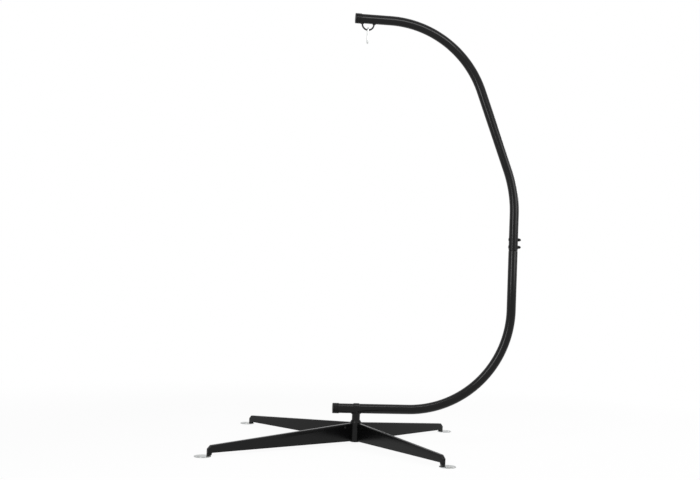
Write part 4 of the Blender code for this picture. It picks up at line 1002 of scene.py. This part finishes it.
# %% [markdown]
# ## The legs
#
# Each leg is one steel sheet, 2 mm thick, folded down along both sides of a long taper so that it is open
# underneath, with its outer end folded and welded shut. The two on the open side of the C are longer. The
# leg is made as a solid with its folds rounded, and then hollowed from below, which keeps an even wall.

# %% Places of the feet
BASE_TURN = math.radians(-9.9)    # how the base stands under the arm
SPAN, OFFSET = 1.036, 0.089       # side of the square of feet, and how far the hub stands off its middle
CORNERS = {"front_left": (-1, -1), "back_left": (-1, 1), "front_right": (1, -1), "back_right": (1, 1)}
feet = []
for name, (x, y) in CORNERS.items():
    dx, dy = x * SPAN / 2 - OFFSET, y * SPAN / 2
    feet.append((name, math.atan2(dy, dx) + BASE_TURN, math.hypot(dx, dy)))
print("feet at", [round(reach * 1000) for _, _, reach in feet], "mm from the hub's axis")

# %% One leg
LEG_WIDE, SHEET, FOLD = 16 * MM, 2 * MM, 2.5 * MM
UNDERSIDE, ROOT_TOP, TIP_TOP, CHAMFER = 13.5 * MM, 99 * MM, 46 * MM, 15 * MM
SHORT_OF_FOOT, HEEL = 22 * MM, 18 * MM
SOLE, HEEL_FLOOR = 3.8 * MM, 3 * MM
HEEL_EASE, INNER_EASE, SOLE_EASE, TIP_EASE = 3 * MM, 5 * MM, 1.5 * MM, 2.5 * MM
FOLD_STEPS = 5


def leg_mesh(reach):
    """Sheet leg along +X, from the hub to short of the foot plate's centre."""
    end = reach - SHORT_OF_FOOT
    heel = end - HEEL
    slope = (ROOT_TOP - TIP_TOP) / (end - CHAMFER - HUB_R)
    root = HUB_BORE / 2

    def top(x, below=0.0):
        return ROOT_TOP - slope * (x - HUB_R) - below * math.hypot(1, slope)

    outline = [(root, UNDERSIDE), (heel, UNDERSIDE), (heel, SOLE), (end, SOLE), (end, TIP_TOP - CHAMFER),
               (end - CHAMFER, TIP_TOP), (root, top(root))]
    radii = [0, HEEL_EASE, INNER_EASE, SOLE_EASE, TIP_EASE, TIP_EASE, 0]
    mesh = slab(eased(outline, radii, steps=6), LEG_WIDE)
    work = bmesh.new()
    work.from_mesh(mesh)
    fold = []
    for edge in work.edges:
        a, b = (v.co for v in edge.verts)
        on_side = abs(a.y - b.y) < SAME_PLACE and abs(abs(a.y) - LEG_WIDE / 2) < SAME_PLACE
        above = min(a.z, b.z) > UNDERSIDE and max(a.x, b.x) > root + MM
        at_end = min(a.x, b.x) > end - 3 * MM
        if on_side and (above or at_end) and max(a.z, b.z) > SOLE + 0.1 * MM:
            fold.append(edge)
    bmesh.ops.bevel(work, geom=fold, offset=FOLD, segments=FOLD_STEPS, affect="EDGES", profile=0.5)
    work.to_mesh(mesh)
    work.free()
    edge_line = end - CHAMFER + TIP_TOP - SHEET * math.sqrt(2)       # x + z along the inside of the chamfer
    bend = (edge_line - top(0, SHEET)) / (1 - slope)
    wall = end - SHEET
    hollow = [(root / 2, 0), (heel - GAP, 0), (heel - GAP, SOLE + HEEL_FLOOR), (wall, SOLE + HEEL_FLOOR),
              (wall, edge_line - wall), (bend, edge_line - bend), (root / 2, top(root / 2, SHEET))]
    mesh = cut(mesh, slab(hollow, LEG_WIDE - 2 * SHEET))
    return cut(mesh, prism(HUB_R + GAP, -50 * MM, 200 * MM, 96))     # the root hugs the round hub


print("leg", round(LEG_WIDE * 1000), "mm wide, of sheet", round(SHEET * 1000), "mm thick")

# %% Legs
LEG_BOLT_OUT, LEG_BOLT_HIGH, LEG_HOLE_R = 65 * MM, 80 * MM, 3.3 * MM
LEG_SHARP_ANGLE = 28
bolt_hole = prism(LEG_HOLE_R, -LEG_WIDE, LEG_WIDE, 32)
across_leg = Matrix.Translation((LEG_BOLT_OUT, 0, LEG_BOLT_HIGH)) @ Matrix.Rotation(math.pi / 2, 4, "X")
for name, angle, reach in feet:
    leg = shaded(cut(leg_mesh(reach), bolt_hole, across_leg), LEG_SHARP_ANGLE)
    piece(f"sheet_leg_{name}", leg, "powder_coat", "base", f"leg_{name}",
          matrix=Matrix.Rotation(angle, 4, "Z"))
print("legs end", round(SHORT_OF_FOOT * 1000), "mm short of the middle of their feet")

# %% [markdown]
# ## Leg bolts
#
# A button-head bolt crosses each leg's root and the box section inside it. The head is a low dome with a
# hexagon socket.

# %% Leg bolts
BUTTON_R, BUTTON_HIGH, BUTTON_EASE = 5.25 * MM, 3.3 * MM, 1.2 * MM
SHANK_R, SHANK_PAST = 3 * MM, 6.5 * MM           # radius, and what comes out on the leg's other side
BUTTON_SOCKET_HALF, BUTTON_SOCKET_FLOOR = 2 * MM, 1.3 * MM
half = LEG_WIDE / 2 + GAP
button = eased([(0, BUTTON_HIGH), (2.4 * MM, 3.1 * MM), (4.2 * MM, 2.1 * MM), (BUTTON_R, 0.5 * MM),
                (BUTTON_R, 0), (SHANK_R, 0)], BUTTON_EASE, closed=False)
shank_end = -2 * half - SHANK_PAST
button = turned(button + [(SHANK_R, shank_end), (0, shank_end)], closed=False, steps=48)
button = cut(button, hex_prism(BUTTON_SOCKET_HALF, BUTTON_SOCKET_FLOOR, SOCKET_TOP))
on_leg = Matrix.Translation((LEG_BOLT_OUT, half, LEG_BOLT_HIGH)) @ Matrix.Rotation(-math.pi / 2, 4, "X")
for name, angle, _ in feet:
    piece(f"button_bolt_{name}", button, "powder_coat", "base", f"leg_bolt_{name}",
          matrix=Matrix.Rotation(angle, 4, "Z") @ on_leg)
print("button heads", round(2000 * BUTTON_R, 1), "mm across")

# %% [markdown]
# ## Foot plates
#
# The feet are stamped discs, 72 mm across and 3.5 mm thick, zinc-plated. Stamping rounds the upper rim and
# leaves the lower one sharper. Each has a hole near its outer side for a ground peg, lightly countersunk,
# and a smaller one under the leg for the screw that comes up from below.

# %% Foot plates
PLATE_R, PLATE_THICK = 36 * MM, 3.5 * MM
RIM_EASE, BURR_EASE = 1.1 * MM, 0.4 * MM         # upper and lower edge
PEG_R, PEG_SINK_R, PEG_OUT = 5.5 * MM, 8 * MM, 19 * MM
SCREW_R, SCREW_SINK_R, SCREW_IN = 2.8 * MM, 5.3 * MM, -29 * MM
CLEAR = 3 * MM                    # how far a cutter goes on below the plate
rim = eased([(0, PLATE_THICK), (PLATE_R, PLATE_THICK), (PLATE_R, 0), (0, 0)], [0, RIM_EASE, BURR_EASE, 0],
            closed=False, steps=5)
stamped = turned(rim, closed=False, steps=96)
peg = turned([(0, 8 * MM), (PEG_SINK_R, 8 * MM), (7.0 * MM, PLATE_THICK + 0.2 * MM),
              (PEG_R, PLATE_THICK - 0.9 * MM), (PEG_R, -CLEAR), (0, -CLEAR)], closed=False, steps=48)
sink = turned([(0, 7 * MM), (SCREW_R, 7 * MM), (SCREW_R, 2.8 * MM), (SCREW_SINK_R, GAP),
               (SCREW_SINK_R, -CLEAR), (0, -CLEAR)], closed=False, steps=32)
plate = cut(stamped, peg, Matrix.Translation((PEG_OUT, 0, 0)))
plate = cut(plate, sink, Matrix.Translation((SCREW_IN, 0, 0)))
for name, angle, reach in feet:
    piece(f"foot_disc_{name}", plate, "zinc_plate", "base", f"foot_plate_{name}",
          matrix=Matrix.Rotation(angle, 4, "Z") @ Matrix.Translation((reach, 0, 0)))
print("foot plates", round(2000 * PLATE_R), "mm across")
